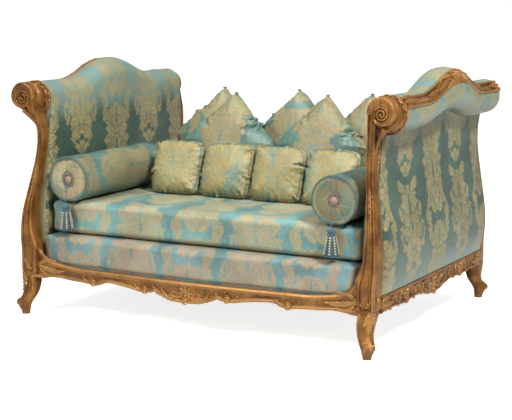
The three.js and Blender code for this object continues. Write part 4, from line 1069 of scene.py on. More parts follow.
def toe_rings():
    """The toe curls forward and out, across the corner, with a small waist in its middle"""
    share = np.linspace(-1, 1, 15)[:, None]
    angle = np.arange(28)[None, :] / 28 * TURN
    reach = TOE_RADIUS * (0.86 + 0.14 * share ** 2) * np.clip(7 * (1.03 - np.abs(share)), 0.2, 1)
    out = TOE_REACH + reach * np.cos(angle)
    side = share * TOE_WIDTH / 2
    x = FOOT_X + (out + side) / math.sqrt(2)
    y = front_y(-FOOT_FORWARD) - (out - side) / math.sqrt(2)
    return np.stack([x, y, TOE_HEIGHT + reach * np.sin(angle)], axis=2)


def rail_rings():
    x = np.concatenate([-np.linspace(1, 0, 90, endpoint=False), np.linspace(0, 1, 91)]) * RAIL_HALF
    face, top, bottom = [value[:, None] for value in (rail_face(x), rail_top_at(x), rail_bottom_at(x))]
    lip, low = face + RAIL_LIP, RAIL_TOP - RAIL_REBATE
    bead, edge = 0.0065, 0.008
    rows = [(RAIL_INNER_BACK, low), (RAIL_INNER_BACK, bottom), (face + 2.4 * edge, bottom),
        (face + 1.3 * edge, bottom + 0.05 * edge), (face + 0.5 * edge, bottom + 0.25 * edge),
        (face + 0.12 * edge, bottom + 0.7 * edge), (face, bottom + 1.2 * edge), (face + 0.2 * edge, bottom + 1.7 * edge),
        (face + 0.75 * edge, bottom + 2 * edge), (face + 0.8 * edge, bottom + 2.3 * edge),
        (face + RAIL_COVE, 0.65 * bottom + 0.35 * top), (face + RAIL_COVE, 0.5 * bottom + 0.5 * top),
        (face + RAIL_COVE, top - 3.4 * bead), (face + 0.8 * bead, top - 2.7 * bead), (face + 0.85 * bead, top - 2.4 * bead),
        (face + 0.25 * bead, top - 2 * bead), (face, top - 1.4 * bead), (face + 0.15 * bead, top - 0.7 * bead),
        (face + 0.6 * bead, top - 0.15 * bead), (face + 1.2 * bead, top), (lip, top), (lip, low)]
    x = x[:, None]
    rings = [np.concatenate([x, front_y(back + 0 * x), z + 0 * x], axis=1) for back, z in rows]
    return np.stack(rings, axis=1)


def side_rail_rings():
    y = np.concatenate([-np.linspace(1, 0, 70, endpoint=False), np.linspace(0, 1, 71)]) * SIDE_RAIL_HALF
    bottom = (SIDE_RAIL_BOTTOM - side_hang(np.abs(y) / SIDE_RAIL_HALF)[0] * SIDE_RAIL_DROP)[:, None]
    top, face, edge = SIDE_RAIL_TOP, SIDE_RAIL_OUTER, 0.0075
    rows = [(SIDE_RAIL_INNER, bottom), (face - 2 * edge, bottom), (face - 0.9 * edge, bottom + 0.1 * edge),
        (face - 0.2 * edge, bottom + 0.6 * edge), (face, bottom + 1.2 * edge), (face - 0.25 * edge, bottom + 1.8 * edge),
        (face - 0.8 * edge, bottom + 2.1 * edge), (face - RAIL_COVE, 0.6 * bottom + 0.4 * top),
        (face - RAIL_COVE, top - 3.2 * edge), (face - 0.8 * edge, top - 2.5 * edge), (face - 0.2 * edge, top - 2 * edge),
        (face, top - 1.4 * edge), (face - 0.2 * edge, top - 0.6 * edge), (face - 0.9 * edge, top - 0.05 * edge),
        (face - 1.6 * edge, top), (SIDE_RAIL_INNER, top)]
    y = y[:, None]
    rings = [np.concatenate([x + 0 * y, y, z + 0 * y], axis=1) for x, z in rows]
    return np.stack(rings, axis=1)


# A crest's section: share of the way between its angles, and of its thickness
CREST_SECTION = ((0, 0), (0, 0.45), (0.02, 0.78), (0.08, 0.96), (0.15, 0.96), (0.2, 0.8), (0.23, 0.62), (0.3, 0.6),
    (0.4, 0.68), (0.5, 0.72), (0.6, 0.68), (0.7, 0.6), (0.77, 0.62), (0.8, 0.8), (0.85, 0.96), (0.92, 0.96),
    (0.98, 0.78), (1, 0.45), (1, 0), (0.75, 0), (0.5, 0), (0.25, 0))


def rear_rings():
    share = np.linspace(0, 1, 50)
    inner, width, setback, depth = [column[:, None] for column in upright_at(share)]
    across, back = np.array(REAR_SECTION).T
    z = (KNEE_TOP + share * (EYE_Z - KNEE_TOP))[:, None]
    x = BLOCK_INNER + inner * BULGE + across * width * BLOCK_WIDE
    y = front_y(-BLOCK_FORWARD + back * (rear_face(z) + BLOCK_FORWARD))
    return np.stack([x, y, z + 0 * x], axis=2)


def head_rings():
    """The round head of a back upright, behind the roll's end"""
    rows = ((-BLOCK_FORWARD, 0.5), (-BLOCK_FORWARD + 0.003, 0.72), (-BLOCK_FORWARD + 0.009, 0.86),
        (-BLOCK_FORWARD + 0.017, 0.95), (-BLOCK_FORWARD + 0.026, 1), (REAR_TOP, 1))
    angle = np.arange(56) / 56 * TURN
    rings = [np.stack([CORE_X - HEAD_INSET + HEAD_RADIUS * share * np.cos(angle), np.full(56, front_y(back)),
        CORE_Z + HEAD_RADIUS * share * np.sin(angle)], axis=1) for back, share in rows]
    return np.array(rings)


def crest_rings():
    y = np.linspace(TOP_FRONT, TOP_BACK, 120)[:, None]
    part, rise = np.array(CREST_SECTION).T
    low = roll_at(y) - CREST_UNDER + GAP
    radius = low + rise * (roll_at(y) + CREST_OVER - low)
    x, z = core_point(y, CREST_FROM + part * (CREST_TO - CREST_FROM), radius)
    return np.stack([x, y + 0 * x, z], axis=2)


MATERIALS = {}
GROUPS = {}


def make_materials():
    GROUPS["damask"] = damask_group()
    GROUPS["wear_and_light"] = wear_and_light_group()
    MATERIALS["gilt"] = gilt_material()
    MATERIALS["plain_wood"] = wood_material()
    MATERIALS["brass"] = brass_material()
    # The ends' damask is darker than the seat's, partly as painted shade, with a painted satin sheen laid high and low
    MATERIALS["shaded_end_damask"] = damask_material("shaded_end_damask", colour(50, 72, 62), colour(132, 122, 82), 0.26,
        pale=colour(98, 120, 112), drawing=1.0)
    MATERIALS["mattress_damask"] = damask_material("mattress_damask", colour(92, 128, 126), colour(148, 137, 100), 0.36)
    MATERIALS["deck_damask"] = damask_material("deck_damask", colour(88, 116, 118), colour(140, 124, 96), 0.3, 0, 0.7)
    MATERIALS["bolster_damask"] = damask_material("bolster_damask", colour(74, 100, 92), colour(122, 112, 74), 0.38, 90)
    MATERIALS["cushion_damask"] = damask_material("cushion_damask", colour(80, 108, 98), colour(134, 121, 80), 0.42, 0,
        0.7)
    MATERIALS["gold_silk"] = damask_material("gold_silk", colour(106, 124, 106), colour(142, 128, 78), 1.2, 0, 0.3)
    # A darker copy of the bolster ends' silk for the right bolster: painted shade
    MATERIALS["shaded_end_silk"] = damask_material("shaded_end_silk", colour(82, 96, 80), colour(106, 95, 60), 0.5)
    MATERIALS["pale_silk"] = damask_material("pale_silk", colour(118, 120, 98), colour(148, 134, 98), 0.7, 0, 0.8)
    MATERIALS["button_silk"] = cord_material("button_silk", colour(120, 90, 70), colour(160, 134, 108), 120)
    MATERIALS["blue_cord"] = cord_material("blue_cord", colour(16, 48, 60), colour(46, 92, 106))
    MATERIALS["teal_piping"] = cord_material("teal_piping", colour(20, 40, 38), colour(62, 92, 84))
    MATERIALS["gold_gimp"] = cord_material("gold_gimp", colour(44, 28, 18), colour(106, 80, 54))
    MATERIALS["gold_strand"] = cord_material("gold_strand", colour(138, 112, 66), colour(206, 190, 142))
    MATERIALS["floor"] = floor_material()


def dress_cad_nodes():
    """The hidden wood and the bolts stay as they are modelled, with their own finish"""
    for name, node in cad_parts.items():
        finish = "brass" if name.startswith("bed_bolt") else "plain_wood"
        node.data.materials.clear()
        node.data.materials.append(MATERIALS[finish])


def add_frame_wood():
    upright = joined_mesh("upright", [tube_mesh(upright_rings()), tube_mesh(volute_rings()), tube_mesh(band_rings()),
        tube_mesh(collar_rings()), *spiral_meshes(), *upright_carving(), *collar_carving()])
    leg = joined_mesh("leg", [tube_mesh(leg_rings()), tube_mesh(toe_rings()), *knee_carving()])
    rail = joined_mesh("rail", [tube_mesh(rail_rings()), *rail_carving()])
    side_rail = joined_mesh("side_rail", [tube_mesh(side_rail_rings()), *side_rail_carving()])
    crest = joined_mesh("crest", [tube_mesh(crest_rings()), *crest_carving()])
    rear = joined_mesh("rear", [tube_mesh(rear_rings()), tube_mesh(head_rings())])
    for end, sx in ENDS:
        for front, sy in FRONTS:
            corner = f"{front}_{end}"
            add_piece(f"carved_upright_{corner}", upright if sy > 0 else rear, "gilt", "frame",
                [f"upright_{corner}"], sx, sy)
            add_piece(f"carved_leg_{corner}", leg, "gilt", "frame", [f"leg_{corner}"], sx, sy)
        add_piece(f"carved_side_rail_{end}", side_rail, "gilt", "frame", [f"side_rail_{end}"], sx)
        add_piece(f"carved_crest_{end}", crest, "gilt", "frame", [f"crest_{end}"], sx)
    for front, sy in FRONTS:
        add_piece(f"carved_{front}_rail", rail, "gilt", "frame", [f"{front}_rail"], 1, sy)


# Upholstery of the ends
def arc_places(y, start, end, count, radius):
    """X and Z along an arc on the roll, for each station"""
    share = np.linspace(0, 1, count)
    return core_point(y, start + share * (end - start), radius)


def top_places(count):
    """Places along the depth of the cloth, closer together near its ends"""
    share = np.linspace(-1, 1, count)[:, None]
    share = 0.5 * np.sin(share * np.pi / 2) + 0.5 * share
    return (TOP_FRONT + TOP_BACK) / 2 + share * (TOP_BACK - TOP_FRONT) / 2


def beside_uprights(x, z, y):
    """Y for each point, drawn in where an upright or its collar stands in front"""
    under = CORE_Z - COLLAR_RADIUS - COLLAR_BAND
    near = np.clip((z - under + 0.04) / 0.04, 0, 1) ** 2
    front = front_y(upright_back(z) + PAD_CLEAR)
    front = np.where(z < under, front + (TOP_FRONT - front) * near, TOP_FRONT)
    back = SCROLL_FACE - rear_face(z) - PAD_CLEAR
    back = np.where(z < under, back + (TOP_BACK - back) * near, TOP_BACK)
    return np.where(y < 0, y / TOP_FRONT * front, y / TOP_BACK * back)


def stuffed(y, depth, width=0.03):
    """How far a face falls back near the ends of a pad, so that its edges look stuffed"""
    edge = np.clip(np.minimum(y - TOP_FRONT, TOP_BACK - y) / width, 0, 1)
    return depth * (1 - np.sqrt(1 - (1 - edge) ** 2))


def inner_pad_mesh():
    y = top_places(71)
    outer, top, low = roll_at(y), CORE_Z + CORE_RISE * camel(y), SIDE_RAIL_TOP + GAP
    swell_at = through(INNER_FACE_SHARES + ((1, 1),))
    heights = np.linspace(0, 0.93, 30)
    swell = swell_at(heights)[0]
    face_z = low + heights * (top - low)
    face_x = PAD_FACE + swell * (CORE_X - outer - PAD_FACE)
    parts = [(face_x, face_z)]
    inner = SCROLL_RAIL_RADIUS + 2 * GAP
    parts.append(arc_places(y, 172, CREST_TO + 0.5, 22, outer - 0.0005))
    parts.append(arc_places(y, CREST_TO + 1, 148, 8, inner))
    behind = np.linspace(0.9, 0, 10)
    parts.append((BOARD_INNER - GAP + 0 * y + 0 * behind, low + behind * (top - low)))
    x = np.concatenate([np.broadcast_to(part[0], (len(y), part[0].shape[1])) for part in parts], axis=1)
    z = np.concatenate([part[1] for part in parts], axis=1)
    count = face_z.shape[1] + 22
    fall = np.where(y < 0, stuffed(y, 0.012), stuffed(y, 0.006, 0.015))
    x[:, :30] += fall
    spread = np.broadcast_to(y, x.shape)
    place = beside_uprights(x, z, spread)
    ripple = 0.0012 * np.sin(place * 31) * np.sin(z * 17)
    x[:, :count] += ripple[:, :count]
    return tube_mesh(np.stack([x, place, z], axis=2))


def outer_pad_mesh():
    y = top_places(71)
    inner, low = BOARD_INNER + BOARD_THICK + GAP, SIDE_RAIL_TOP + GAP
    top = CORE_Z + CORE_RISE * camel(y) - roll_at(y) - GAP
    flat_top = CORE_Z - ROLL_RADIUS
    heights = np.linspace(0, 1, 40)
    level = low + heights * (flat_top - low)
    swell = OUTER_PAD_PROUD * np.minimum(1, 0.35 + 7 * heights) * np.where(heights > 0.96, 0.85, 1)
    x = np.maximum(upright_outer(level) + swell, inner + 0.007) + 0 * y
    z = low + heights * (top - low)
    fall = np.where(y < 0, stuffed(y, 0.012, 0.035), stuffed(y, 0.007, 0.012))
    x = x - np.minimum(fall, x - inner - 0.006)
    behind = np.linspace(1, 0, 8)
    x = np.concatenate([x, inner + 0 * y + 0 * behind], axis=1)
    z = np.concatenate([z, low + behind * (top - low)], axis=1)
    place = beside_uprights(x, z, np.broadcast_to(y, x.shape))
    return tube_mesh(np.stack([x, place, z], axis=2))


def roll_mesh():
    y = top_places(91)
    outer = roll_at(y)
    under = outer - CREST_UNDER
    start = np.degrees(np.arccos((CORE_X - BOARD_INNER - BOARD_THICK - GAP) / outer)) - 180
    share = np.linspace(0, 1, 34)
    plump = 1 + 0.035 * camel(CAMEL_MIDDLE + (y - CAMEL_MIDDLE) * 1.2)
    tight = np.where(y < 0, stuffed(y, 0.006, 0.03), stuffed(y, 0.008, 0.012))
    gather = 0.0012 * np.sin(y * 90 + share * 5) * np.exp(-(np.abs(y - CAMEL_MIDDLE) - 0.31) ** 2 / 0.004)
    shade = outer * (1 + (plump - 1) * np.sin(share * np.pi) ** 2) - tight * np.sin(share * np.pi) + gather
    parts = [core_point(y, start + share * (CREST_FROM - 0.3 - start), shade)]
    parts.append(arc_places(y, CREST_FROM - 0.3, CREST_TO, 6, under))
    parts.append(arc_places(y, CREST_TO, -135, 14, SCROLL_RAIL_RADIUS + 2 * GAP))
    x = np.concatenate([part[0] for part in parts], axis=1)
    z = np.concatenate([part[1] for part in parts], axis=1)
    return tube_mesh(np.stack([x, y + 0 * x, z], axis=2))


def add_end_upholstery():
    covers = (("inner_pad", inner_pad_mesh(), 0.8), ("outer_pad", outer_pad_mesh(), 0.85), ("roll", roll_mesh(), 0.9))
    for name, mesh, fill in covers:
        whole = joined_mesh(name, [mesh])
        for end, sx in ENDS:
            piece = add_piece(f"{name}_cover_{end}", whole, "shaded_end_damask", "frame", [f"{name}_{end}"], sx,
                angle=60)


# Mattress and box spring
def soft_box_mesh(low, high, radius, cuts, bowed, pull):
    """A soft box with rounded edges, sides that pull in at mid height, and front and back that can bow"""
    bm = bmesh.new()
    bmesh.ops.create_cube(bm, size=2)
    bmesh.ops.subdivide_edges(bm, edges=bm.edges, cuts=cuts, use_grid_fill=True)
    mesh = bpy.data.meshes.new("box")
    bm.to_mesh(mesh)
    bm.free()
    low, high = np.array(low), np.array(high)
    middle, half = (low + high) / 2, (high - low) / 2
    unit = vertices_of(mesh)
    at = np.sign(unit) * (1 - (1 - np.abs(unit)) ** 1.0) * half
    core = np.clip(at, -(half - radius), half - radius)
    over = at - core
    length = np.linalg.norm(over, axis=1, keepdims=True)
    reach = np.max(np.abs(over), axis=1, keepdims=True)
    at = core + np.where(length > 0, over / np.maximum(length, 1e-9) * reach, 0)
    outward = np.clip(np.abs(at[:, :2]) / half[:2], 0, 1) ** 24
    level = at[:, 2] / half[2]
    at[:, :2] -= np.sign(at[:, :2]) * outward * (pull * (1 - level ** 2) ** 2)[:, None]
    at[:, 1] += np.sign(at[:, 1]) * bowed * bow(at[:, 0]) * (np.abs(at[:, 1]) / half[1])
    set_vertices(mesh, at + middle)
    lay_box_cloth(mesh, middle, half)
    return mesh


def lay_box_cloth(mesh, middle, half):
    """The cloth map of a box: the top lies flat, and the sides hang on from its edges"""
    layer = mesh.uv_layers.new(name="cloth")
    at = vertices_of(mesh) - middle
    flat = np.zeros((len(mesh.loops), 2))
    for face in mesh.polygons:
        for i in face.loop_indices:
            x, y, z = at[mesh.loops[i].vertex_index]
            drop = half[2] - z
            if abs(face.normal.z) > 0.6:
                flat[i] = (x, y)
            elif abs(face.normal.y) >= abs(face.normal.x):
                flat[i] = (x, math.copysign(half[1] + drop, y))
            else:
                flat[i] = (y, math.copysign(half[0] + drop, x) + half[1])
    layer.data.foreach_set("uv", flat.ravel())


def soften(mesh, amount, scale, keep_bottom):
    """Gentle hills and hollows in stuffed cloth, with the underside kept flat"""
    at = vertices_of(mesh)
    low, high = at[:, 2].min(), at[:, 2].max()
    share = np.clip((at[:, 2] - low) / (high - low), 0, 1) if keep_bottom else 1
    wave = (np.sin(at[:, 0] * scale + 0.6) * np.sin(at[:, 1] * scale * 1.3 + 1.1)
        + 0.5 * np.sin(at[:, 0] * scale * 2.7 + at[:, 1] * scale * 1.9))
    at[:, 2] += np.minimum(0, amount * (wave - 1)) * share
    at[:, 1] += amount * 0.8 * np.sin(at[:, 0] * scale * 2.1) * np.where(np.abs(at[:, 1]) > 0.4, 1, 0) * 0.6
    set_vertices(mesh, at)


def add_seat():
    low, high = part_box("mattress")
    mattress = soft_box_mesh(low, high, 0.034, 46, 0.0, 0.006)
    soften(mattress, 0.003, 6.0, True)
    whole = joined_mesh("mattress", [mattress])
    piece = add_piece("mattress_cover", whole, "mattress_damask", "mattress", ["mattress"], angle=60)
    front = SCROLL_FACE + RAIL_PROUD - RAIL_LIP - GAP
    rest = RAIL_TOP - RAIL_REBATE + GAP
    upper = soft_box_mesh((-SPRING_HALF, -front, rest), (SPRING_HALF, front, SPRING_TOP), 0.03, 40, RAIL_BOW, 0.003)
    low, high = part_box("box_spring")
    back = SCROLL_FACE - RAIL_INNER_BACK - GAP
    lower = soft_box_mesh((-SPRING_HALF + 0.026, -back, low.z), (SPRING_HALF - 0.026, back, SPRING_TOP - 0.03), 0.004,
        6, 0.0, 0.0)
    foot = soft_box_mesh((-SPRING_HALF + 0.02, -front + 0.007, rest), (SPRING_HALF - 0.02, front - 0.007, rest + 0.05),
        0.004, 24, RAIL_BOW, 0.0)
    whole = joined_mesh("box_spring", [upper, foot, lower])
    piece = add_piece("box_spring_cover", whole, "deck_damask", "box_spring", ["box_spring"], angle=60)


# Bolsters
BOLSTER_Y = front_y(BOLSTER_BACK) + BOLSTER_LENGTH / 2
PLEATS = ((24, 0.5), (78, 1), (118, 0.35), (169, 0.8), (236, 0.55), (297, 1), (340, 0.7))  # angle and depth


def settle(rings, floor):
    """Presses places that would sink into what they lie on up to it"""
    rings[:, :, 2] = np.maximum(rings[:, :, 2], floor)
    return rings


def bolster_rings():
    """The bolster's round, from just inside its front piping to the back one"""
    half = BOLSTER_LENGTH / 2
    y = np.concatenate([np.linspace(-1, -0.9, 10), np.linspace(-0.88, 0.88, 70), np.linspace(0.9, 1, 10)])[:, None]
    angle = np.arange(72)[None, :] / 72 * TURN
    near = np.exp(-((1 - np.abs(y)) / 0.03) ** 2)
    pucker = 0.0016 * np.sin(angle * 29 + 3 * np.sin(angle * 5)) * near
    slack = 0.0016 * np.sin(y * 5 + np.cos(angle) * 2) * np.sin(angle * 2 + y * 3) + 0.0005 * np.sin(y * 13 + angle * 3)
    radius = (BOLSTER_RADIUS - 0.003) * (1 - 0.022 * near) + pucker + slack * (1 - near)
    x = BOLSTER_X + radius * np.cos(angle)
    z = BOLSTER_Z + radius * np.sin(angle)
    return settle(np.stack([x, BOLSTER_Y + half * y + 0 * x, z], axis=2), MATTRESS_TOP + 0.0004)


def bolster_end_rings():
    """A bolster's front end, gathered into pleats under the button and piped round its edge"""
    reach = np.concatenate([np.linspace(0.985, 0.2, 26), np.linspace(0.16, 0.02, 4)])[:, None]
    angle = np.arange(144)[None, :] / 144 * TURN
    turned = np.degrees(angle)
    crease = 0
    for pleat, depth in PLEATS:
        off = (turned - pleat - 14 * (reach - 0.3) + 180) % 360 - 180
        crease = crease + depth * np.exp(-(off / (2.2 + 2 * reach)) ** 2) * np.clip(1.25 - reach, 0, 1)
    crown = 0.011 * np.sin(np.pi * np.clip((reach - 0.12) / 0.88, 0, 1)) ** 0.8
    depth = BOLSTER_DISH * (1 - reach) ** 0.6 + crease * 0.005 * np.sin(np.pi * np.clip(reach, 0, 1)) ** 0.7
    fine = 0.0008 * np.sin(angle * 31 + 2 * np.sin(angle * 3)) * (1 - reach) ** 1.5
    x = BOLSTER_X + (BOLSTER_RADIUS - 0.005) * reach * np.cos(angle)
    z = BOLSTER_Z + (BOLSTER_RADIUS - 0.005) * reach * np.sin(angle)
    y = front_y(BOLSTER_BACK) + depth - crown + fine + 0.004
    back = np.stack([x[:1], y[:1] + 0.012, z[:1]], axis=2)
    return settle(np.concatenate([back, np.stack([x, y, z], axis=2)]), MATTRESS_TOP + 0.0004)


def ring_places(centre, radius, count=72):
    angle = np.linspace(0, TURN, count)
    return np.stack([centre[0] + radius * np.cos(angle), np.full(count, centre[1]), centre[2] + radius * np.sin(angle)],
        axis=1)


def cord_mesh(spine, radius, lay=0.0, points=12):
    """A cord along a spine, with its strands' twist standing out by lay"""
    spine = np.asarray(spine, float)
    run = np.concatenate([[0], np.cumsum(np.linalg.norm(np.diff(spine, axis=0), axis=1))])
    return stroke_mesh(spine, radius * (1 + lay * np.sin(run / radius * 1.6)), points)


def bolster_piping():
    spine = ring_places((BOLSTER_X, front_y(BOLSTER_BACK) - 0.0005 + PIPING_RADIUS / 2, BOLSTER_Z), BOLSTER_RADIUS - 0.0055,
        150)
    spine[:, 2] = np.maximum(spine[:, 2], MATTRESS_TOP + PIPING_RADIUS + 0.0004)
    second = ring_places((BOLSTER_X, front_y(BOLSTER_BACK) + 3.4 * PIPING_RADIUS, BOLSTER_Z), BOLSTER_RADIUS - 0.0045, 150)
    second[:, 2] = np.maximum(second[:, 2], MATTRESS_TOP + 0.6 * PIPING_RADIUS + 0.0004)
    return [cord_mesh(spine, PIPING_RADIUS, 0.05), cord_mesh(second, 0.5 * PIPING_RADIUS, 0.05)]


def button_mesh():
    face = front_y(BOLSTER_BACK + BOLSTER_DISH)
    rows = ((0.2, 0), (0.66, 0), (0.7, 0.3), (0.62, 0.62), (0.45, 0.86), (0.22, 0.98), (0.03, 1))
    angle = np.arange(40)[None, :] / 40 * TURN
    reach = np.array([row[0] for row in rows])[:, None] * BUTTON_RADIUS
    rise = np.array([row[1] for row in rows])[:, None] * BUTTON_HEIGHT
    fold = 0.0006 * np.sin(angle * 9) * (rise > 0)
    x = BOLSTER_X + reach * np.cos(angle)
    z = BOLSTER_Z + reach * np.sin(angle)
    return tube_mesh(np.stack([x, face - rise + fold, z], axis=2))


def gimp_meshes():
    """A looped braid round the button"""
    face = front_y(BOLSTER_BACK + BOLSTER_DISH) - 0.0055
    inner = cord_mesh(ring_places((BOLSTER_X, face - 0.001, BOLSTER_Z), 0.82 * BUTTON_RADIUS, 90), 0.0032, 0.12)
    turn = np.linspace(0, TURN, 240)
    reach = BUTTON_RADIUS * (1.16 + 0.15 * np.sin(turn * 13) + 0.05 * np.sin(turn * 5))
    loops = np.stack([BOLSTER_X + reach * np.cos(turn + 0.05 * np.cos(turn * 15)), face + 0.0008 * np.cos(turn * 15),
        BOLSTER_Z + reach * np.sin(turn + 0.05 * np.cos(turn * 15))], axis=1)
    return [inner, stroke_mesh(loops, 0.0026, 8)]


# Tassels: the cord's route, from under the button over the edge and straight down
TASSEL_ROUTE = ((0.0066, 0.028), (0.0015, 0.028), (-0.0045, 0.0296), (-0.0095, 0.033), (-0.0131, 0.0375),
    (-0.0155, 0.043), (-0.0171, 0.05), (-0.0185, 0.062), (-0.0201, 0.074), (-0.0215, 0.086), (-0.0225, 0.098),
    (-0.023, 0.1097), (-0.023, 0.125), (-0.023, 0.14))


def tassel_places(sx):
    places = [(sx * BOLSTER_X, front_y(BOLSTER_BACK) + back, BOLSTER_Z - down) for back, down in TASSEL_ROUTE]
    return np.array(places)


def tassel_tube(rows, points, ripple=0.0, waves=1):
    """A turned form under the cord's end: rows of radius and drop"""
    radius, drop = [column[:, None] for column in np.array(rows, float).T]
    angle = np.arange(points)[None, :] / points * TURN
    reach = radius * (1 + ripple * np.sin(angle * waves))
    x = BOLSTER_X + reach * np.cos(angle)
    y = front_y(TASSEL_BACK) + reach * np.sin(angle)
    z = np.broadcast_to(TASSEL_TOP - drop, x.shape)
    return tube_mesh(np.stack([x, y, z], axis=2))


def tassel_skirt_meshes(strands=44):
    """Separate silk strands that hang from the head in two layers, closed below with their own tips"""
    meshes = [tassel_tube(((0.01, 0.03), (0.02, 0.06), (0.024, 0.1), (0.023, 0.114), (0.005, 0.114)), 24)]
    for i in range(strands):
        turn = i / strands * TURN
        layer = 1 if i % 2 else 0.93
        t = np.linspace(0, 1, 9)
        reach = (0.013 + (TASSEL_SKIRT_RADIUS - 0.0155) * (0.35 * t + 0.65 * t ** 0.6)) * layer
        swing = 0.02 * np.sin(i * 2.4) * t
        spine = np.stack([BOLSTER_X + reach * np.cos(turn + swing), front_y(TASSEL_BACK) + reach * np.sin(turn + swing),
            TASSEL_TOP - 0.028 - (TASSEL_LENGTH - 0.03 - 0.004 * ((i * 7) % 3) / 2) * t], axis=1)
        meshes.append(stroke_mesh(spine, 0.0021, 6))
    return meshes


def tassel_bead_meshes(strings=7, beads=7):
    places = []
    for i in range(strings):
        turn = (i / strings - 0.22) * TURN
        for j in range(beads):
            t = (j + 0.5) / beads
            reach = 0.0125 + (TASSEL_SKIRT_RADIUS - 0.0175) * (0.35 * t + 0.65 * t ** 0.6) + 0.003
            places.append((BOLSTER_X + reach * math.cos(turn), front_y(TASSEL_BACK) + reach * math.sin(turn),
                TASSEL_TOP - 0.034 - 0.076 * t))
    return [pearls_mesh(places, 0.0049)]


def add_bolsters():
    body = joined_mesh("bolster", [tube_mesh(bolster_rings())])
    end_face = joined_mesh("bolster_end", [tube_mesh(bolster_end_rings())])
    lay_flat(end_face, (0, 2))
    piping = joined_mesh("bolster_piping", bolster_piping())
    button = joined_mesh("button", [button_mesh()])
    gimp = joined_mesh("gimp", gimp_meshes())
    head = joined_mesh("tassel_head", [tassel_tube(((0.004, -0.003), (0.012, -0.001), (0.0185, 0.008), (0.019, 0.016),
        (0.013, 0.0235), (0.0165, 0.028), (0.018, 0.033), (0.0145, 0.038)), 30, 0.07, 9)])
    skirt = joined_mesh("tassel_skirt", tassel_skirt_meshes())
    beads = joined_mesh("tassel_beads", tassel_bead_meshes())
    for end, sx in ENDS:
        rides = f"bolster_{end}"
        add_piece(f"bolster_round_{end}", body, "bolster_damask", rides, [rides], sx, angle=60)
        for front, sy in FRONTS:
            near = end_face if sy > 0 else turned_back(end_face)
            # The right bolster's ends take a darker copy of the same silk: painted shade
            silk = "shaded_end_silk" if end == "right" else "pale_silk"
            add_piece(f"bolster_end_{front}_{end}", near, silk, rides, (), sx, angle=60)
            near = piping if sy > 0 else turned_back(piping)
            add_piece(f"bolster_piping_{front}_{end}", near, "teal_piping", rides, (), sx, angle=60)
            near = button if sy > 0 else turned_back(button)
            add_piece(f"covered_button_{front}_{end}", near, "button_silk", rides,
                [f"bolster_button_{front}_{end}"], sx, angle=60)
            near = gimp if sy > 0 else turned_back(gimp)
            add_piece(f"button_gimp_{front}_{end}", near, "gold_gimp", rides, (), sx, angle=60)
        rides = f"tassel_{end}"
        tassel = [add_piece(f"tassel_head_{end}", head, "blue_cord", rides, [rides], sx, angle=60),
            add_piece(f"tassel_strands_{end}", skirt, "blue_cord", rides, (), sx, angle=60),
            add_piece(f"tassel_beads_{end}", beads, "gold_strand", rides, (), sx, angle=60)]
        route = tassel_places(sx)
        path = catmull(route, 8)
        cord = add_piece(f"tassel_cord_silk_{end}", cord_mesh(path, TASSEL_CORD_RADIUS - 0.0001, 0.03), "blue_cord", rides,
            [f"tassel_cord_{end}"], angle=60)


def turned_back(mesh):
    """A bolster's front piece mirrored to its back end"""
    made = mesh.copy()
    made.transform(Matrix.Translation((0, 2 * BOLSTER_Y, 0)) @ Matrix.Diagonal((1, -1, 1, 1)))
    made.flip_normals()
    return made


def lay_flat(mesh, axes):
    """Lays the cloth map flat over a piece, along two of its axes"""
    at = vertices_of(mesh)
    corners = np.array([loop.vertex_index for loop in mesh.loops])
    mesh.uv_layers["cloth"].data.foreach_set("uv", at[corners][:, axes].ravel())


def catmull(places, steps):
    """A smooth curve through places"""
    at = np.concatenate([2 * places[:1] - places[1:2], places, 2 * places[-1:] - places[-2:-1]])
    t = np.linspace(0, 1, steps, endpoint=False)[:, None]
    spans = []
    for a, b, c, d in zip(at, at[1:], at[2:], at[3:]):
        spans.append(0.5 * (2 * b + (c - a) * t + (2 * a - 5 * b + 4 * c - d) * t ** 2 + (3 * b - a - 3 * c + d) * t ** 3))
    return np.concatenate(spans + [places[-1:]])


# Cushions
def flat_cushion(side, cuts, power, bulge=0.07):
    """Two round-cornered squares of cloth sewn round their edge, with the cut cloth's own flat places as their
    cloth map: (mesh, each vertex's place in the plain square, from -1 to 1)"""
    bm = bmesh.new()
    bmesh.ops.create_grid(bm, x_segments=cuts, y_segments=cuts, size=1)
    bmesh.ops.solidify(bm, geom=bm.faces[:], thickness=0.004)
    bmesh.ops.recalc_face_normals(bm, faces=bm.faces)
    mesh = bpy.data.meshes.new("cushion")
    bm.to_mesh(mesh)
    bm.free()
    at = vertices_of(mesh)
    square = at[:, :2].copy()
    ring = np.maximum(np.abs(square).max(axis=1), 1e-9)
    toward = square / ring[:, None]
    reach = np.maximum((np.abs(toward) ** power).sum(axis=1), 1) ** (-1 / power)
    barrel = bulge * (1 - np.abs(toward).min(axis=1) ** 2)
    rounded = 1 + (reach - 1 + barrel) * ring ** 2
    at[:, :2] = square * rounded[:, None] * side / 2
    set_vertices(mesh, at)
    mesh.uv_layers.new(name="cloth")
    lay_flat(mesh, (0, 1))
    return mesh, square


def plumped(at, square, thick):
    """A crowned form over the flat cloth: the shape that a cushion starts its simulation from"""
    u, v = np.clip(square, -1, 1).T
    crown = ((1 - u * u) * (1 - v * v)) ** 0.45
    upper = np.sign(at[:, 2] - at[:, 2].mean())
    return np.stack([at[:, 0], at[:, 1], upper * (thick / 2 * crown + 0.001)], axis=1)


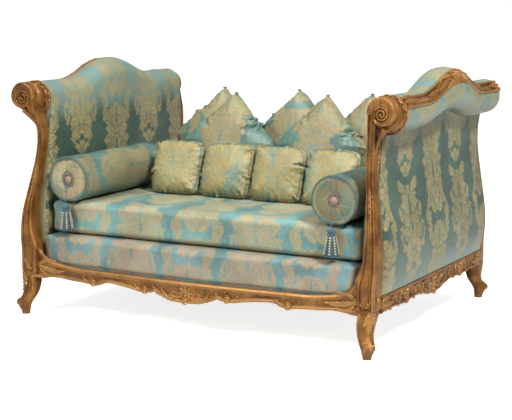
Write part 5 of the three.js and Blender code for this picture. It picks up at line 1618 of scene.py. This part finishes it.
def inflated(mesh, pressure, bend):
    """Blows the sewn cloth up by Blender's cloth simulation"""
    piece = bpy.data.objects.new("cloth_trial", mesh)
    bpy.context.scene.collection.objects.link(piece)
    cloth = piece.modifiers.new("cloth", "CLOTH")
    settings = cloth.settings
    settings.quality = 4
    settings.mass = 0.25
    settings.tension_stiffness = settings.compression_stiffness = 12
    settings.shear_stiffness = 4
    settings.bending_stiffness = bend
    settings.use_pressure = True
    settings.uniform_pressure_force = pressure
    settings.effector_weights.gravity = 0
    cloth.point_cache.frame_start, cloth.point_cache.frame_end = 1, 24
    scene = bpy.context.scene
    for step in range(1, 23):
        scene.frame_set(step)
    seen = piece.evaluated_get(bpy.context.evaluated_depsgraph_get())
    made = bpy.data.meshes.new_from_object(seen)
    bpy.data.objects.remove(piece)
    scene.frame_set(1)
    return made


def squared(at, square, side, power, draw):
    """Draws a stuffed form out in its plane, so that its edge runs along a round-cornered square"""
    edge = np.abs(square).max(axis=1) > 1 - 1e-4
    turn = np.arctan2(at[:, 1], at[:, 0])
    length = np.hypot(at[:, 0], at[:, 1])
    seen = np.interp(turn, turn[edge], length[edge], period=TURN)
    toward = np.abs(np.stack([np.cos(turn), np.sin(turn)], axis=1))
    slant = toward.min(axis=1) / toward.max(axis=1)
    wanted = side / 2 * (toward ** power).sum(axis=1) ** (-1 / power) * (1 - draw * (1 - slant ** 2))
    share = np.clip(length / seen, 0, 1)
    at[:, :2] *= (1 + (wanted / seen - 1) * share ** 2)[:, None]
    return at


def cushion_form(wide, thick, cuts, seed, pressure, power, bend, draw):
    """A cushion lying flat at the origin, its stuffed form scaled to its sizes, and the middle line of its edge"""
    mesh, square = flat_cushion(wide, cuts, power)
    flat = vertices_of(mesh)
    random = np.random.default_rng(seed)
    start = plumped(flat, square, 0.5 * thick)
    start += random.normal(0, 0.0006, start.shape)
    set_vertices(mesh, start)
    mesh = inflated(mesh, pressure, bend)
    at = vertices_of(mesh)
    at -= (at.max(axis=0) + at.min(axis=0)) / 2
    at *= np.array((wide, wide, thick)) / (at.max(axis=0) - at.min(axis=0))
    at = squared(at, square, wide, power, draw)
    set_vertices(mesh, at)
    return mesh, rim_line(square, at)


def rim_line(square, at):
    """The middle line of the sewn edge, in order round the cushion"""
    edge = np.abs(square).max(axis=1) > 1 - 1e-4
    spots = np.round(square[edge], 4)
    turn = np.arctan2(spots[:, 1], spots[:, 0])
    order = np.argsort(np.round(turn, 6), kind="stable")
    line = at[edge][order].reshape(-1, 2, 3).mean(axis=1)
    return np.concatenate([line, line[:1]])


def subdivided(mesh):
    bm = bmesh.new()
    bm.from_mesh(mesh)
    bmesh.ops.subdivide_edges(bm, edges=bm.edges, cuts=1, use_grid_fill=True, smooth=1.0)
    made = bpy.data.meshes.new("cushion")
    bm.to_mesh(made)
    bm.free()
    return made


def stood_up(node, turn):
    """The matrix that stands a flat cushion up in its node's place, leaning back, and turns it in its plane"""
    low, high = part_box(node)
    middle = (Vector(low) + Vector(high)) / 2
    up = Vector((0, math.sin(LEAN), math.cos(LEAN)))
    front = Vector((0, -math.cos(LEAN), math.sin(LEAN)))
    axes = Matrix((Vector((1, 0, 0)), up, front)).transposed().to_4x4()
    return Matrix.Translation(middle) @ axes @ Matrix.Rotation(turn, 4, "Z")


def add_cushion(node, form, rim, finish, trim, turn, shift, welt, ruched=False):
    """Stands one cushion in its place, pressed flat where it stands on the mattress, with its welt"""
    place = stood_up(node, turn)
    made = form.copy()
    layer = made.uv_layers["cloth"]
    flat = np.zeros(len(made.loops) * 2)
    layer.data.foreach_get("uv", flat)
    flat = flat.reshape(-1, 2)
    c, s = math.cos(turn), math.sin(turn)
    flat = flat @ np.array(((c, s), (-s, c))) + np.array(shift)
    layer.data.foreach_set("uv", flat.ravel())
    made.transform(place)
    floor = MATTRESS_TOP + 0.0006
    at = vertices_of(made)
    at[:, 2] -= 0.004
    at[:, 2] = np.maximum(at[:, 2], floor)
    set_vertices(made, at)
    top = at[np.argmax(at[:, 2])]
    piece = add_piece(f"{node}_cover", made, finish, node, [node], angle=60)
    line = np.array([place @ Vector(spot) for spot in rim])
    line[:, 2] = np.maximum(line[:, 2] - 0.004, floor + welt)
    line = catmull(line, 3)
    meshes = [cord_mesh(line, welt, 0.16)]
    if ruched:
        meshes += [stroke_mesh(ruche, 0.0018, 6) for ruche in ruches(made, line, place)]
    add_piece(f"{node}_welt", joined_mesh("welt", meshes), trim, node, (), angle=60)
    return top


def ruches(form, line, place):
    """Two wavy threads that gather the cloth beside a cushion's edge, before and behind it"""
    bm = bmesh.new()
    bm.from_mesh(form)
    surface = BVHTree.FromBMesh(bm)
    bm.free()
    middle = np.array(place.translation)
    front = np.array((0, -math.cos(LEAN), math.sin(LEAN)))
    steps = np.linalg.norm(np.diff(line, axis=0), axis=1)
    run = np.concatenate([[0], np.cumsum(steps)])
    at = np.arange(0, run[-1], 0.0028)
    dense = np.stack([np.interp(at, run, line[:, k]) for k in range(3)], axis=1)
    inward = middle - dense
    inward -= (inward @ front)[:, None] * front
    inward /= np.linalg.norm(inward, axis=1, keepdims=True)
    wave = 0.0085 + 0.0035 * np.sin(at / 0.0165 * TURN) + 0.001 * np.sin(at / 0.047 * TURN)
    made = []
    for way in (-1, 1):
        spots = []
        for spot in dense + inward * wave[:, None] + way * 0.02 * front:
            near, normal = surface.find_nearest(Vector(spot))[:2]
            if not spots or (near + normal * 0.0003 - spots[-1]).length > 0.0008:
                spots.append(near + normal * 0.0003)
        made.append(np.array(spots))
    return made


def tuft_mesh(place, size):
    """The knot that ties a cushion's corner: a few short loops of silk"""
    meshes = []
    for i, (dx, dy, dz) in enumerate(((0, 0, 1), (0.7, 0.2, 0.6), (-0.7, -0.2, 0.7), (0.3, -0.6, 0.8))):
        t = np.linspace(0, 1, 10)[:, None]
        bend = np.array((0.4 * math.sin(i * 2.1), 0.4 * math.cos(i * 2.1), 0.1))
        spine = np.array(place) + size * (t * np.array((dx, dy, dz)) + bend * np.sin(np.pi * t) * 0.5)
        meshes.append(stroke_mesh(spine, size * 0.24 * np.sin(np.pi * (0.15 + 0.8 * t[:, 0])), 8))
    return meshes


def add_cushions():
    small = [cushion_form(SMALL_SIDE * 0.995, SMALL_THICK, 34, seed, 11.0, 5.5, 0.8, 0.02) for seed in (3, 8)]
    large = [cushion_form(LARGE_SIDE * 0.995, LARGE_THICK, 40, seed, 7.0, 8.0, 1.0, 0.045) for seed in (5, 11)]
    small = [(subdivided(mesh), rim) for mesh, rim in small]
    large = [(subdivided(mesh), rim) for mesh, rim in large]
    for i in range(4):
        mesh, rim = small[i % 2]
        shift = ((i * 0.37) % 0.58, 0.13 * i)
        add_cushion(f"small_cushion_{i + 1}", mesh, rim, "gold_silk", "teal_piping", math.pi * (i // 2),
            shift, 0.0026, True)
    names = ["large_cushion_front_1", "large_cushion_front_2", "large_cushion_back_1", "large_cushion_back_2",
        "large_cushion_back_3"]
    for i, node in enumerate(names):
        mesh, rim = large[i % 2]
        quarter = math.pi / 4 + math.pi / 2 * (i % 4)
        top = add_cushion(node, mesh, rim, "cushion_damask", "cushion_damask", quarter,
            (COLUMN_PITCH * (i % 2), 0.1 * i), 0.0016)
        add_piece(f"{node}_knot", joined_mesh("knot", tuft_mesh(top - np.array((0, 0, 0.003)), 0.012)), "teal_piping",
            node, (), angle=60)


make_materials()
add_camera()
add_studio()
dress_cad_nodes()
add_frame_wood()
add_end_upholstery()
add_seat()
add_bolsters()
add_cushions()
